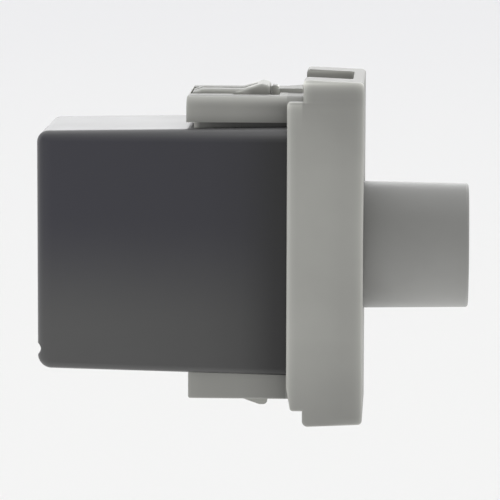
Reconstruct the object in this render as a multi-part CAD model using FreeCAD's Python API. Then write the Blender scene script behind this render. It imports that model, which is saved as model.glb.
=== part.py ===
# Rotary dimmer module that snaps into a wall plate, in millimetres.
# +X runs along the knob's axis and out of the front, and +Z is up. The origin lies on that
# axis, in the plane where the front body rests on the plate.
import FreeCAD, Part
import os
from math import cos, hypot, pi, radians, sin, sqrt, tan

# Clearances, and how far a cutter or a joined form runs past the face that it meets
fit = 0.05
slip = 0.1
play = 0.2
over = 1.0
root = 0.3

# Front body
front_height = 50.0
front_width = 25.0
front_depth = 8.6
front_draft = radians(2.5)
side_draft = radians(1.5)
front_wall = 2.2
cover_side_wall = 1.6
front_edge = 0.4
outline_edge = 0.55
front_corner = 0.8
step_depth = 2.3
step_top_drop = 3.2
step_bottom_rise = 2.3
heel_height = 3.4
heel_inset = 0.6
heel_corner = 0.45
notch_width = 13.0
notch_depth = 7.0
notch_corner = 0.6
core_wall = 1.2
core_skin = 1.5
hollow_corner = 1.2

# Clip arms
top_arm_reach = 16.8
bottom_arm_reach = 16.5
arm_width = 20.4
arm_above_step = 0.6
bottom_arm_inset = 1.4
arm_overhang = 0.9
block_reach = 15.7
block_inset = 0.5
arm_edge = 2.2
arm_end_edge = 0.4
bottom_arm_edge = 0.3
cheek_wall = 0.9
spine_half = 1.6
barb_width = 6.0
barb_rise = 0.8
barb_front = 10.4
barb_length = 2.0
barb_lead = 1.2

# Release latch, the sprung tongue in the top arm
latch_width = 7.3
latch_gap = 0.25
latch_recess = 0.8
rib_recess_width = 11.0
ramp_recess_width = 13.8
latch_end_gap = 0.35
latch_thickness = 1.4
latch_travel = radians(6.0)
hinge_inset = 1.75
hinge_web = 0.7
hinge_half_length = 0.6
hinge_corner = 0.3
tongue_inset = 0.55
rib_inset = 0.3
rib_width = 2.6
rib_rise = 0.45
rib_edge = 0.4
rib_end_slope = 1.3
ramp_foot = 10.3
ramp_peak = 6.3
ramp_face = 5.1
ramp_rise = 1.3
ramp_drop = 0.25
ramp_round = 0.6
ramp_edge = 0.4
ramp_bar = 0.7
bottom_ramp_foot = 11.9
bottom_ramp_shift = 0.2
bottom_ramp_rise = 1.9
boss_gap = 0.3
boss_front = 3.8
boss_width = 2.4
boss_rise = 0.85
boss_round = 0.5
tab_rear_width = 3.5
tab_front_width = 6.6
tab_rise = 0.6
tab_slope = 0.15

# Rear casing
casing_side_inset = 1.2
casing_depth = 38.15
casing_lap = 2.0
casing_top_drop = 3.75
casing_bottom_rise = 4.9
casing_top_draft = radians(1.0)
casing_bottom_draft = radians(1.25)
casing_wall = 1.5
casing_top_radius = 1.7
casing_bottom_radius = 2.0
casing_edge = 1.0
inner_corner = 0.4
trim = 0.3
pull_groove_depth = 0.5
pull_groove_width = 1.7
pull_groove_rise = 2.8
rail_rise = 0.8
rail_width = 1.4
rail_top_drop = 4.0

# Knob
knob_base_diameter = 18.5
knob_tip_diameter = 18.05
knob_proud = 15.2
knob_sink = 3.0
knob_wall = 1.5
knob_top_wall = 1.8
knob_tip_edge = 0.45
knob_gap = 0.4
hub_wall = 1.8
hub_rib_count = 6
hub_rib_thickness = 1.0
hub_rib_start = 2.5
push_travel = 0.8
clip_sheet = 0.3
clip_width = 3.2
clip_hook = 1.3

# Control: a potentiometer with a push switch behind it
spindle_diameter = 6.0
spindle_flat = 1.5
spindle_end_gap = 3.0
spindle_chamfer = 0.5
collar_rise = 0.7
collar_length = 0.6
tail_diameter = 4.0
tail_flat = 1.3
tail_chamfer = 0.3
running_gap = 0.05
bushing_wall = 1.0
bushing_length = 5.9
bushing_chamfer = 0.4
bushing_collar_rim = 1.2
bushing_collar = 0.8
nut_wall = 1.0
nut_thickness = 2.0
nut_chamfer = 0.4
washer_rim = 1.9
washer_thickness = 0.5
washer_teeth = 10
washer_tooth_gap = 0.7
washer_tooth_depth = 0.7
well_floor = 1.8
well_wall = 1.4
well_end_gap = 0.5
well_edge = 0.3
well_rib = 1.2
well_rib_y = 5.5
frame_plate = 0.8
frame_sheet = 0.7
frame_corner = 0.6
frame_leg_width = 1.8
frame_lug_diameter = 1.5
frame_lug_reach = 0.9
control_width = 13.0
control_corner = 0.8
control_floor = 1.2
cavity_diameter = 11.0
rotor_thickness = 2.2
rotor_diameter = 8.4
lobe_half_angle = radians(20.0)
stop_half_angle = radians(18.0)
stop_key_margin = radians(2.0)
contact_sheet = 0.15
contact_dimple = 0.12
contact_dimple_diameter = 0.7
contact_inset = 0.5
track_gap = 0.3
track_thickness = 0.5
plunger_diameter = 8.2
plunger_plate = 0.5
plunger_rim = 0.6
plunger_skirt = 0.35
plunger_gap = 0.15
pusher_diameter = 1.6
pusher_length = 0.25
dome_diameter = 6.8
dome_rise = 0.6
dome_sheet = 0.12

# Boards and the pins that join them
board_thickness = 1.6
board_gap = 0.3
board_corner = 1.0
lead_diameter = 0.6
lead_gap = 0.15
lead_stub = 1.0
stand_gap = 0.1
link_pin = 0.64
link_pitch = 2.54
link_count = 6
link_inset = 0.9
spacer_thickness = 2.5
spacer_outer = 0.85
spacer_inner = 1.2
control_pin_pitch = 2.5
control_pin_row_inset = 1.6
control_pin_width = 0.8
control_pin_sheet = 0.5
control_pin_depth = 0.6

# Control chip and the small parts beside it
chip_length = 8.7
chip_width = 3.9
chip_height = 1.45
chip_chamfer = 0.2
chip_y = -1.5
chip_z = 0.0
chip_lead_pitch = 1.27
chip_leads_per_side = 7
chip_lead_width = 0.4
chip_lead_sheet = 0.2
chip_lead_rise = 0.7
chip_lead_knee = 0.45
chip_lead_toe = 1.0
small_part_length = 2.0
small_part_width = 1.24
small_part_height = 0.6
small_part_rows = [-3.2, 0.6]
small_part_columns = [-11.5, -8.9, 7.5, 9.9, 12.3]

# Parts behind the power board
film_length = 12.5
film_height = 5.2
film_depth = 9.8
film_lead_pitch = 10.0
film_edge = 0.5
film_chamfer = 0.4
film_side_inset = 1.2
board_rim = 0.2
fuse_width = 3.8
fuse_height = 7.0
fuse_depth = 7.4
fuse_lead_pitch = 5.0
fuse_edge = 0.5
fuse_chamfer = 0.3
fuse_side_inset = 0.8
can_diameter = 7.2
can_depth = 10.6
can_lead_pitch = 2.5
can_side_inset = 1.05
can_crimp = 0.35
can_crimp_place = 1.9
can_crimp_half = 0.3
can_chamfer = 0.3
can_vent = 0.3
can_vent_length = 5.0
can_vent_depth = 0.2
varistor_diameter = 8.8
varistor_thickness = 3.0
varistor_lead_pitch = 5.0
varistor_edge = 0.8
varistor_side_inset = 0.7
part_gap = 0.6

# Parts before the power board
choke_diameter = 8.2
choke_length = 11.0
choke_waist = 7.6
choke_rim = 2.2
choke_lead_pitch = 5.0
choke_link_gap = 5.1
snubber_thickness = 2.5
snubber_length = 7.2
snubber_depth = 6.8
snubber_lead_pitch = 5.0
snubber_y = -3.0
snubber_z = -10.0
mosfet_pitch = 9.4
mosfet_width = 6.6
mosfet_length = 6.1
mosfet_thickness = 2.3
mosfet_tab = 1.1
mosfet_tab_width = 5.2
mosfet_tab_sheet = 0.6
mosfet_lead_pitch = 2.28
mosfet_lead_width = 0.7
mosfet_lead_sheet = 0.5
mosfet_lead_depth = 1.3
mosfet_stand = 3.0
pad_sheet = 0.3
pad_margin = 0.5
sink_sheet = 1.5
sink_inset = 2.7
sink_lip = 5.4
sink_stand = 1.2
sink_end_gap = 1.05
sink_height = 24.0
sink_z = 1.4
sink_peg_width = 1.6
sink_peg_pitch = 12.4
clamp_strip = 0.6
clamp_strip_width = 3.2
clamp_strip_end = 1.2
clamp_strip_turn = 0.5
clamp_screw_diameter = 2.3
clamp_head_diameter = 4.4
clamp_head = 1.3
clamp_screw_reach = 5.1
cross_slot = 0.5
cross_slot_length = 2.4
cross_slot_depth = 0.7

# Terminals
pole_pitch = 6.2
pole_rise = 6.0
pole_wall = 1.0
block_height = 10.0
block_skin = 1.0
screw_diameter = 2.9
screw_head_diameter = 4.6
screw_head = 1.6
screw_chamfer = 0.4
screw_slot = 0.7
screw_slot_length = 3.0
screw_slot_depth = 1.0
screw_access_diameter = 4.0
cage_travel = 2.2
cage_nut_wall = 1.4
cage_wall = 1.0
cage_side = 0.8
cage_height = 4.8
cage_edge = 0.5
cage_start_gap = 0.5
cage_groove = 0.5
cage_groove_depth = 0.25
cage_groove_pitch = 1.2
bar_thickness = 0.8
bar_width = 3.0
bar_pin_width = 1.2
bar_drop = 1.6
bar_bend = 0.2
wire_space = 2.6
wire_entry_diameter = 3.8
wire_funnel = 0.5

# Heights
top_step_z = front_height / 2 - step_top_drop
bottom_step_z = -front_height / 2 + step_bottom_rise
arm_top_z = top_step_z + arm_above_step
arm_bottom_z = bottom_step_z + bottom_arm_inset
latch_low_z = arm_top_z - latch_thickness
casing_front_top = top_step_z - casing_top_drop
casing_front_bottom = bottom_step_z + casing_bottom_rise
casing_rear_top = casing_front_top - casing_depth * tan(casing_top_draft)
casing_rear_bottom = casing_front_bottom + casing_depth * tan(casing_bottom_draft)
pole_z = casing_rear_bottom + pole_rise
block_bottom_z = casing_rear_bottom + casing_wall + slip
block_top_z = block_bottom_z + block_height
bar_pin_z = block_top_z - bar_drop
rail_top_z = casing_rear_top - casing_wall - rail_top_drop
rail_bottom_z = block_top_z + bar_drop
board_top_z = casing_rear_top - casing_wall - board_gap
board_bottom_z = casing_rear_bottom + casing_wall + board_gap
cover_inner_top = casing_front_top - casing_wall + slip
cover_inner_bottom = casing_front_bottom + casing_wall - slip

# Widths
casing_width = front_width - 2 * casing_side_inset
cavity_half_width = casing_width / 2 - casing_wall
board_half_width = cavity_half_width - board_gap
well_radius = knob_base_diameter / 2 + knob_gap
bushing_diameter = spindle_diameter + 2 * bushing_wall
bushing_collar_diameter = bushing_diameter + 2 * bushing_collar_rim
nut_across_flats = bushing_diameter + 2 * nut_wall
washer_diameter = bushing_diameter + 2 * washer_rim
hub_diameter = spindle_diameter + 2 * hub_wall
lug_z = bushing_collar_diameter / 2 + frame_lug_reach
leg_y = control_width / 2 + fit + frame_sheet / 2
cage_width = pole_pitch - pole_wall - 2 * slip
poles = [-pole_pitch, 0.0, pole_pitch]

# Places along the axis, from the knob's tip back to the control board
knob_tip_x = front_depth + knob_proud
knob_base_x = front_depth - knob_sink
spindle_front_x = knob_tip_x - knob_top_wall - spindle_end_gap
well_front_x = knob_base_x - push_travel - well_end_gap
well_rear_x = well_front_x - well_floor
frame_rear_x = well_rear_x - frame_plate
bushing_rear_x = frame_rear_x - bushing_collar
bushing_front_x = frame_rear_x + bushing_length
hub_rear_x = bushing_front_x + push_travel + 2 * clip_sheet
collar_front_x = bushing_rear_x - slip
collar_rear_x = collar_front_x - collar_length
rotor_front_x = collar_rear_x - push_travel - play
rotor_rear_x = rotor_front_x - rotor_thickness
track_front_x = rotor_rear_x - track_gap
track_rear_x = track_front_x - track_thickness
tail_end_x = track_front_x + slip
plunger_top_x = track_rear_x - plunger_gap
plunger_rear_x = plunger_top_x - plunger_plate
pusher_rear_x = plunger_rear_x - pusher_length
cavity_floor_x = pusher_rear_x - push_travel - slip - dome_rise
control_board_x = cavity_floor_x - control_floor
control_board_rear_x = control_board_x - board_thickness

# Places along the axis, from the casing's rear wall forward to the power board
casing_inner_x = -casing_depth + casing_wall
block_rear_x = casing_inner_x + play
head_rear_x = block_rear_x + play
head_front_x = head_rear_x + screw_head
cage_rear_x = head_front_x + slip + cage_travel
cage_inner_x = cage_rear_x + cage_nut_wall
bar_rear_x = cage_inner_x + cage_start_gap
bar_front_x = bar_rear_x + bar_thickness
cage_stop_x = bar_front_x + wire_space
cage_front_x = cage_stop_x + cage_wall
block_front_x = cage_front_x + play + block_skin
power_board_x = block_front_x + board_thickness
power_board_rear_x = block_front_x
wire_x = (bar_front_x + cage_stop_x) / 2

# Latch
latch_rear_x = -top_arm_reach + tongue_inset
pivot_x = -top_arm_reach + hinge_inset
pivot_z = arm_top_z - latch_thickness / 2
latch_neck_x = -boss_front

# Middles of the standing parts, and where their leads pass through the power board
link_y = -board_half_width + link_inset
film_y = -board_half_width + film_side_inset + film_length / 2
film_z = board_top_z - board_rim - film_height / 2
fuse_y = board_half_width - fuse_side_inset - fuse_width / 2
fuse_z = board_top_z - board_rim - fuse_height / 2
can_y = -board_half_width + can_side_inset + can_diameter / 2
can_z = film_z - film_height / 2 - part_gap - can_diameter / 2
varistor_y = board_half_width - varistor_side_inset - varistor_thickness / 2
varistor_z = fuse_z - fuse_height / 2 - part_gap - varistor_diameter / 2
choke_y = link_y + choke_link_gap
choke_z = board_top_z - part_gap - choke_diameter / 2
sink_y = board_half_width - sink_inset
mosfet_back_y = sink_y - pad_sheet
mosfet_lead_y = mosfet_back_y - mosfet_lead_depth
mosfet_x = power_board_x + mosfet_stand
mosfets = [sink_z - mosfet_pitch / 2, sink_z + mosfet_pitch / 2]
clamp_x = mosfet_x + mosfet_length / 2
clamp_head_y = mosfet_back_y - mosfet_thickness - clamp_strip
film_leads = [(film_y - film_lead_pitch / 2, film_z), (film_y + film_lead_pitch / 2, film_z)]
can_leads = [(can_y - can_lead_pitch / 2, can_z), (can_y + can_lead_pitch / 2, can_z)]
fuse_leads = [(fuse_y, fuse_z - fuse_lead_pitch / 2), (fuse_y, fuse_z + fuse_lead_pitch / 2)]
varistor_leads = [(varistor_y, varistor_z - varistor_lead_pitch / 2),
                  (varistor_y, varistor_z + varistor_lead_pitch / 2)]
choke_leads = [(choke_y - choke_lead_pitch / 2, choke_z), (choke_y + choke_lead_pitch / 2, choke_z)]
snubber_leads = [(snubber_y, snubber_z - snubber_lead_pitch / 2),
                 (snubber_y, snubber_z + snubber_lead_pitch / 2)]
mosfet_leads = [(mosfet_lead_y, z + i * mosfet_lead_pitch) for z in mosfets for i in (-1, 0, 1)]
sink_pegs = [(sink_y + sink_sheet / 2, sink_z + side * sink_peg_pitch / 2) for side in (-1, 1)]
bar_pins = [(y, bar_pin_z) for y in poles]
link_places = [(link_y, link_pitch * (i - (link_count - 1) / 2)) for i in range(link_count)]
control_row = control_width / 2 - control_pin_row_inset
control_pin_places = [(i * control_pin_pitch, control_row) for i in (-1, 0, 1)]
control_pin_places += [(i * control_pin_pitch, -control_row) for i in (-1, 1)]
leg_places = [(side * leg_y, z) for side in (1, -1) for z in (-control_width / 4, control_width / 4)]

vec = FreeCAD.Vector


def box(x0, x1, y0, y1, z0, z1):
    # Either corner of each pair may come first.
    sizes = [abs(x1 - x0), abs(y1 - y0), abs(z1 - z0)]
    return Part.makeBox(*sizes, vec(min(x0, x1), min(y0, y1), min(z0, z1)))


def rod(radius, x0, x1, y=0.0, z=0.0):
    return Part.makeCylinder(radius, x1 - x0, vec(x0, y, z), vec(1, 0, 0))


def cross_rod(radius, x, z, y0, y1):
    return Part.makeCylinder(radius, y1 - y0, vec(x, y0, z), vec(0, 1, 0))


def face(corners, place):
    # A closed outline of straight runs; each corner is (a, b, radius) and may be rounded.
    edges = []
    ends = []
    count = len(corners)
    for i in range(count):
        a, b, radius = corners[i]
        here = vec(a, b, 0)
        before = vec(*corners[i - 1][:2], 0) - here
        after = vec(*corners[(i + 1) % count][:2], 0) - here
        if radius == 0:
            ends.append((here, here))
            continue
        half = before.getAngle(after) / 2
        reach = radius / tan(half)
        middle = (before.normalize() + after.normalize()).normalize()
        first = here + before * reach
        last = here + after * reach
        crown = here + middle * (radius / sin(half) - radius)
        ends.append((first, last))
        edges.append(Part.Arc(place(first), place(crown), place(last)).toShape())
    for i in range(count):
        start, stop = ends[i - 1][1], ends[i][0]
        if (start - stop).Length > 1e-6:
            edges.append(Part.LineSegment(place(start), place(stop)).toShape())
    return Part.Face(Part.Wire(Part.__sortEdges__(edges)))


def prism_x(corners, x0, x1):
    # Corners are (y, z, radius).
    return face(corners, lambda p: vec(x0, p.x, p.y)).extrude(vec(x1 - x0, 0, 0))


def prism_y(corners, y0, y1):
    # Corners are (x, z, radius).
    return face(corners, lambda p: vec(p.x, y0, p.y)).extrude(vec(0, y1 - y0, 0))


def prism_z(corners, z0, z1):
    # Corners are (x, y, radius).
    return face(corners, lambda p: vec(p.x, p.y, z0)).extrude(vec(0, 0, z1 - z0))


def turned(corners, y=0.0, z=0.0):
    # Corners are (x, distance from the axis, radius).
    profile = face(corners, lambda p: vec(p.x, 0, p.y))
    solid = profile.revolve(vec(0, 0, 0), vec(1, 0, 0), 360)
    solid.translate(vec(0, y, z))
    return solid


def rounded_bar(x0, x1, y0, y1, z0, z1, radius):
    # A box along X with its four long edges rounded.
    return prism_x([(y0, z0, radius), (y1, z0, radius), (y1, z1, radius), (y0, z1, radius)], x0, x1)


def edges_where(shape, test):
    # The edges whose ends and middle all pass; an edge shrunk to a point is left out.
    found = [edge for edge in shape.Edges if edge.Length > 1e-3]
    return [edge for edge in found if all(test(p) for p in edge.discretize(3))]


def near(value, target):
    return abs(value - target) < 1e-4


def joined(shapes):
    whole = shapes[0]
    for shape in shapes[1:]:
        whole = whole.fuse(shape)
    return whole.removeSplitter()


def without(shape, cutters):
    for cutter in cutters:
        shape = shape.cut(cutter)
    return shape


def around(shape, count, half_step=False):
    # Copies of a shape spread evenly about the knob's axis.
    copies = []
    for i in range(count):
        copy = shape.copy()
        copy.rotate(vec(0, 0, 0), vec(1, 0, 0), 360 / count * (i + 0.5 * half_step))
        copies.append(copy)
    return copies


# Rear casing


def casing_top(x):
    return casing_front_top + x * tan(casing_top_draft)


def casing_bottom(x):
    return casing_front_bottom - x * tan(casing_bottom_draft)


def casing_form(inset, front_x):
    # The casing's block, drawn in by a wall or let out by a clearance.
    rear_x = -casing_depth + inset
    half = casing_width / 2 - inset
    corners = [
        (rear_x, casing_bottom(rear_x) + inset, max(casing_bottom_radius - inset, inner_corner)),
        (front_x, casing_bottom(front_x) + inset, 0),
        (front_x, casing_top(front_x) - inset, 0),
        (rear_x, casing_top(rear_x) - inset, max(casing_top_radius - inset, inner_corner)),
    ]
    block = prism_y(corners, -half, half)
    if inset > casing_edge:
        return block
    rim = edges_where(block, lambda p: near(abs(p.y), half))
    rim = [edge for edge in rim if edge.BoundBox.XMin < front_x - fit]
    return block.makeFillet(casing_edge - inset, rim)


def barb_forms(gap):
    # The barbs under the cover's two arms, or with a gap the windows that they snap into.
    half = barb_width / 2 + gap
    rear_x = -barb_front - barb_length - gap
    front_x = -barb_front + gap
    lead = barb_lead if gap == 0 else 0
    forms = []
    for wall_z, side in ((casing_top(-block_reach), 1), (casing_bottom(-block_reach), -1)):
        base = wall_z + side * over
        tip = wall_z - side * (barb_rise + gap)
        corners = [(rear_x, base, 0), (front_x, base, 0), (front_x, tip, 0), (rear_x + lead, tip, 0)]
        forms.append(prism_y(corners, -half, half))
    return forms


def pull_groove():
    # A shallow groove across the rear face, for a fingernail.
    radius = (pull_groove_width ** 2 / 4 + pull_groove_depth ** 2) / (2 * pull_groove_depth)
    x = -casing_depth - radius + pull_groove_depth
    return cross_rod(radius, x, casing_rear_bottom + pull_groove_rise, -casing_width / 2, casing_width / 2)


def wire_hole(y):
    # Square to the drafted wall.
    inward = vec(sin(casing_bottom_draft), 0, cos(casing_bottom_draft))
    mouth = vec(wire_x, y, casing_bottom(wire_x)) - inward * over
    return Part.makeCylinder(wire_entry_diameter / 2, casing_wall + 2 * over, mouth, inward)


def rear_casing():
    shell = casing_form(0, casing_lap)
    cuts = [casing_form(casing_wall, casing_lap + over), pull_groove()] + barb_forms(play)
    for y in poles:
        cuts.append(rod(screw_access_diameter / 2, -casing_depth - over, casing_inner_x + over, y, pole_z))
        cuts.append(wire_hole(y))
    shell = without(shell, cuts)
    # Two rails on each side wall; their front ends are the seats of the power board.
    rails = []
    for side in (1, -1):
        inner = side * (cavity_half_width - rail_rise)
        outer = side * (cavity_half_width + root)
        for z in (rail_top_z, rail_bottom_z):
            rails.append(box(casing_inner_x - root, power_board_rear_x, inner, outer,
                             z - rail_width / 2, z + rail_width / 2))
    return joined([shell] + rails)


# Front cover


def cover_half_width(x):
    return front_width / 2 - (x + step_depth) * tan(side_draft)


def cover_form():
    # A side outline and a plan outline, each drawn through, give the drafted block with its step.
    top = front_height / 2
    taper = front_depth * tan(front_draft)
    side = [
        (-step_depth, bottom_step_z + heel_height, 0),
        (-step_depth + heel_inset, bottom_step_z, heel_corner),
        (0, bottom_step_z, 0),
        (0, -top, front_corner),
        (front_depth, -top + taper, outline_edge),
        (front_depth, top - taper, outline_edge),
        (0, top, outline_edge),
        (0, top_step_z, 0),
        (-step_depth, top_step_z, outline_edge),
    ]
    half = cover_half_width(-step_depth)
    front_half = cover_half_width(front_depth)
    plan = [(-step_depth, -half, 0), (front_depth, -front_half, 0),
            (front_depth, front_half, 0), (-step_depth, half, 0)]
    block = prism_y(side, -half - over, half + over).common(prism_z(plan, -top - over, top + over))
    rim = edges_where(block, lambda p: near(abs(p.y), cover_half_width(p.x)))
    return block.makeFillet(front_edge, rim)


def top_arm():
    half = arm_width / 2
    underside = casing_top(-top_arm_reach) + arm_overhang
    beam = box(-top_arm_reach, root, -half, half, underside, arm_top_z)
    long_edges = edges_where(beam, lambda p: near(abs(p.y), half) and near(p.z, arm_top_z))
    beam = beam.makeFillet(arm_edge, long_edges)
    end = edges_where(beam, lambda p: near(p.x, -top_arm_reach))
    end = [edge for edge in end if edge.BoundBox.ZLength > fit]
    beam = beam.makeFillet(arm_end_edge, end)
    block_half = half - block_inset
    block = box(-block_reach, -step_depth + over, -block_half, block_half,
                casing_top(-block_reach) - over, underside + root)
    return beam.fuse(block)


def bottom_arm():
    half = arm_width / 2
    upper_z = casing_bottom(-bottom_arm_reach) + over
    beam = box(-bottom_arm_reach, -step_depth + over, -half, half, arm_bottom_z, upper_z)
    end = edges_where(beam, lambda p: near(p.x, -bottom_arm_reach) and near(abs(p.y), half))
    beam = beam.makeFillet(bottom_arm_edge, end)
    low = edges_where(beam, lambda p: near(p.z, arm_bottom_z))
    beam = beam.makeFillet(bottom_arm_edge, [edge for edge in low if edge.BoundBox.XLength > over])
    tip_z = arm_bottom_z - bottom_ramp_rise
    wedge = [
        (-bottom_ramp_foot, arm_bottom_z, 0),
        (-ramp_peak - bottom_ramp_shift, tip_z, ramp_round),
        (-ramp_face - bottom_ramp_shift, tip_z, ramp_round),
        (-ramp_face - bottom_ramp_shift, arm_bottom_z + root, 0),
        (-bottom_ramp_foot, arm_bottom_z + root, 0),
    ]
    return joined([beam, prism_y(wedge, -latch_width / 2, latch_width / 2)])


def latch_trough():
    # The slot that the latch lies in, deep enough for it to be pressed down, and the shallow
    # recess round it, which is wider beside the ramps.
    half = latch_width / 2 + latch_gap
    rib_half = rib_recess_width / 2
    ramp_half = ramp_recess_width / 2
    floor_z = latch_low_z - (top_arm_reach - hinge_inset) * sin(latch_travel) - play
    rear_x = latch_rear_x - latch_gap
    front_x = latch_neck_x + latch_gap
    slot = prism_z([(rear_x, -half, 0), (front_x, -half, 0), (front_x, half, 0), (rear_x, half, 0)],
                   floor_z, front_height / 2)
    flare = tab_outline(latch_gap)
    flare = prism_z([(*corner, 0) for corner in flare], floor_z, front_height / 2)
    wide = [(rear_x, rib_half), (-ramp_foot, rib_half), (-ramp_foot, ramp_half), (front_x, ramp_half)]
    wide = [(x, y, 0) for x, y in wide] + [(x, -y, 0) for x, y in reversed(wide)]
    return joined([slot, flare, prism_z(wide, arm_top_z - latch_recess, front_height / 2)])


def screwdriver_notch():
    half = notch_width / 2
    corners = [(-over, -half, 0), (notch_depth, -half, notch_corner), (notch_depth, half, notch_corner),
               (-over, half, 0)]
    notch = prism_z(corners, top_step_z, front_height / 2 + over)
    return notch.cut(box(-2 * over, 0, -half, half, top_step_z, arm_top_z))


def core_pockets():
    # Blind pockets that open to the rear, so that the thick corners and arms don't sink.
    pockets = []
    outer = cover_half_width(-step_depth) - core_wall
    inner = arm_width / 2 + core_skin / 2
    front_x = front_depth - front_wall - core_skin
    for low, high in ((casing_front_top + core_wall, top_step_z - core_wall),
                      (bottom_step_z + core_wall, casing_front_bottom - core_wall)):
        pockets.append(box(-step_depth - over, front_x, inner, outer, low, high))
    arms = [
        (-top_arm_reach, latch_width / 2 + latch_gap + cheek_wall,
         casing_top(-top_arm_reach) + arm_overhang + cheek_wall, arm_top_z - latch_recess - cheek_wall),
        (-bottom_arm_reach, spine_half, arm_bottom_z + core_wall,
         casing_bottom(-bottom_arm_reach) - cheek_wall),
    ]
    for rear_x, inner, low, high in arms:
        pockets.append(box(rear_x - over, -step_depth - core_skin, inner, arm_width / 2 - core_wall,
                           low, high))
    return pockets + [pocket.mirror(vec(0, 0, 0), vec(0, 1, 0)) for pocket in pockets]


def knob_well(inner_x, inner_half):
    # A cup that hangs behind the knob's hole, tied to the walls above and below by two plates.
    cup = rod(well_radius + well_wall, well_rear_x, inner_x + root)
    plates = [box(well_rear_x + well_end_gap, inner_x + root, y - well_rib / 2, y + well_rib / 2,
                  cover_inner_bottom - root, cover_inner_top + root) for y in (-well_rib_y, well_rib_y)]
    limit = box(well_rear_x, inner_x + root, -inner_half - root, inner_half + root,
                cover_inner_bottom - root, cover_inner_top + root)
    return joined([cup] + plates).common(limit)


def front_cover():
    shell = joined([cover_form(), top_arm(), bottom_arm()])
    inner_x = front_depth - front_wall
    inner_half = cover_half_width(inner_x) - cover_side_wall
    hollow = rounded_bar(casing_lap, inner_x, -inner_half, inner_half, cover_inner_bottom, cover_inner_top,
                         hollow_corner)
    shell = without(shell, [casing_form(-fit, casing_lap + fit), hollow, latch_trough()])
    shell = joined([shell, knob_well(inner_x, inner_half)])
    cuts = [
        rod(well_radius, well_front_x, front_depth + over),
        rod(bushing_diameter / 2 + slip, well_rear_x - over, well_front_x + over),
        rod(frame_lug_diameter / 2 + slip, well_rear_x - over, well_rear_x + well_floor / 2, 0, lug_z),
        screwdriver_notch(),
    ]
    shell = without(shell, cuts + core_pockets())
    mouth = edges_where(shell, lambda p: near(p.x, front_depth) and near(hypot(p.y, p.z), well_radius))
    return joined([shell.makeFillet(well_edge, mouth)] + barb_forms(0))


def tab_outline(gap):
    # The plan of the latch's front end, flared towards the notch.
    rear = tab_rear_width / 2 + gap
    front = tab_front_width / 2 + gap
    return [(latch_neck_x - root, -rear), (gap - latch_end_gap, -front), (gap - latch_end_gap, front),
            (latch_neck_x - root, rear)]


def latch_ramp():
    # Two wedges that start at the tongue's own surface and join at the peak, with rounded outer edges.
    half = latch_width / 2
    groove_half = half - rib_inset - rib_width
    bed = arm_top_z - root
    peak = arm_top_z + ramp_rise
    side = [
        (-ramp_foot, bed, 0),
        (-ramp_foot, arm_top_z, 0),
        (-ramp_peak, peak, ramp_round),
        (-ramp_face, peak - ramp_drop, ramp_round),
        (-ramp_face, bed, 0),
    ]
    wedge = prism_y(side, -half, half)
    outer = edges_where(wedge, lambda p: near(abs(p.y), half))
    wedge = wedge.makeFillet(ramp_edge, [edge for edge in outer if edge.BoundBox.ZMax > arm_top_z + fit])
    groove = box(-ramp_foot - over, -ramp_peak - ramp_bar, -groove_half, groove_half, arm_top_z, peak + over)
    return wedge.cut(groove)


def release_latch():
    half = latch_width / 2
    front_x = -latch_end_gap
    bed = arm_top_z - root
    # The tongue thins to a web where it bends.
    tongue = [
        (latch_rear_x, latch_low_z, 0),
        (pivot_x - hinge_half_length, latch_low_z, hinge_corner),
        (pivot_x - hinge_half_length / 2, arm_top_z - hinge_web, hinge_corner / 2),
        (pivot_x + hinge_half_length / 2, arm_top_z - hinge_web, hinge_corner / 2),
        (pivot_x + hinge_half_length, latch_low_z, hinge_corner),
        (-ramp_face, latch_low_z, 0),
        (-ramp_face, arm_top_z, 0),
        (latch_rear_x, arm_top_z, 0),
    ]
    pieces = [prism_y(tongue, -half, half)]
    rib_top = arm_top_z + rib_rise
    # Two ribs with a rounded outer edge run along the tongue and into the wedge.
    rib = [
        (latch_rear_x, bed, 0),
        (latch_rear_x, arm_top_z, 0),
        (latch_rear_x + rib_end_slope, rib_top, ramp_round),
        (-ramp_peak, rib_top, 0),
        (-ramp_peak, bed, 0),
    ]
    for side in (1, -1):
        outer = side * (half - rib_inset)
        bar = prism_y(rib, *sorted((outer, outer - side * rib_width)))
        edge = edges_where(bar, lambda p: near(p.y, outer) and p.z > arm_top_z - fit)
        pieces.append(bar.makeFillet(rib_edge, edge))
    pieces.append(latch_ramp())
    # A neck with a rounded boss on it joins the wedge and the tab.
    boss = [
        (-ramp_face - root, latch_low_z, 0),
        (-ramp_face - root, bed, 0),
        (-ramp_face + boss_gap, bed, 0),
        (-ramp_face + boss_gap, arm_top_z + boss_rise, 0),
        (-boss_front, arm_top_z + boss_rise, boss_round),
        (-boss_front, latch_low_z, 0),
    ]
    pieces.append(prism_y(boss, -boss_width / 2, boss_width / 2))
    # A flared tab runs on into the notch, where a screwdriver presses it.
    tab = prism_z([(*corner, 0) for corner in tab_outline(0)], latch_low_z, arm_top_z + tab_rise + over)
    slope = [
        (latch_neck_x - root, latch_low_z, 0),
        (latch_neck_x - root, arm_top_z + tab_rise - tab_slope, 0),
        (front_x, arm_top_z + tab_rise, play),
        (front_x, latch_low_z, 0),
    ]
    pieces.append(tab.common(prism_y(slope, -front_width / 2, front_width / 2)))
    return joined(pieces)


# Knob and its spindle


def knob_radius(x):
    slope = (knob_base_diameter - knob_tip_diameter) / 2 / knob_proud
    return knob_base_diameter / 2 - slope * (x - front_depth)


def flatted_rod(radius, flat, x0, x1):
    # A rod with its top cut flat at a height above the axis.
    return rod(radius, x0, x1).common(box(x0, x1, -radius, radius, -radius, flat))


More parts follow.
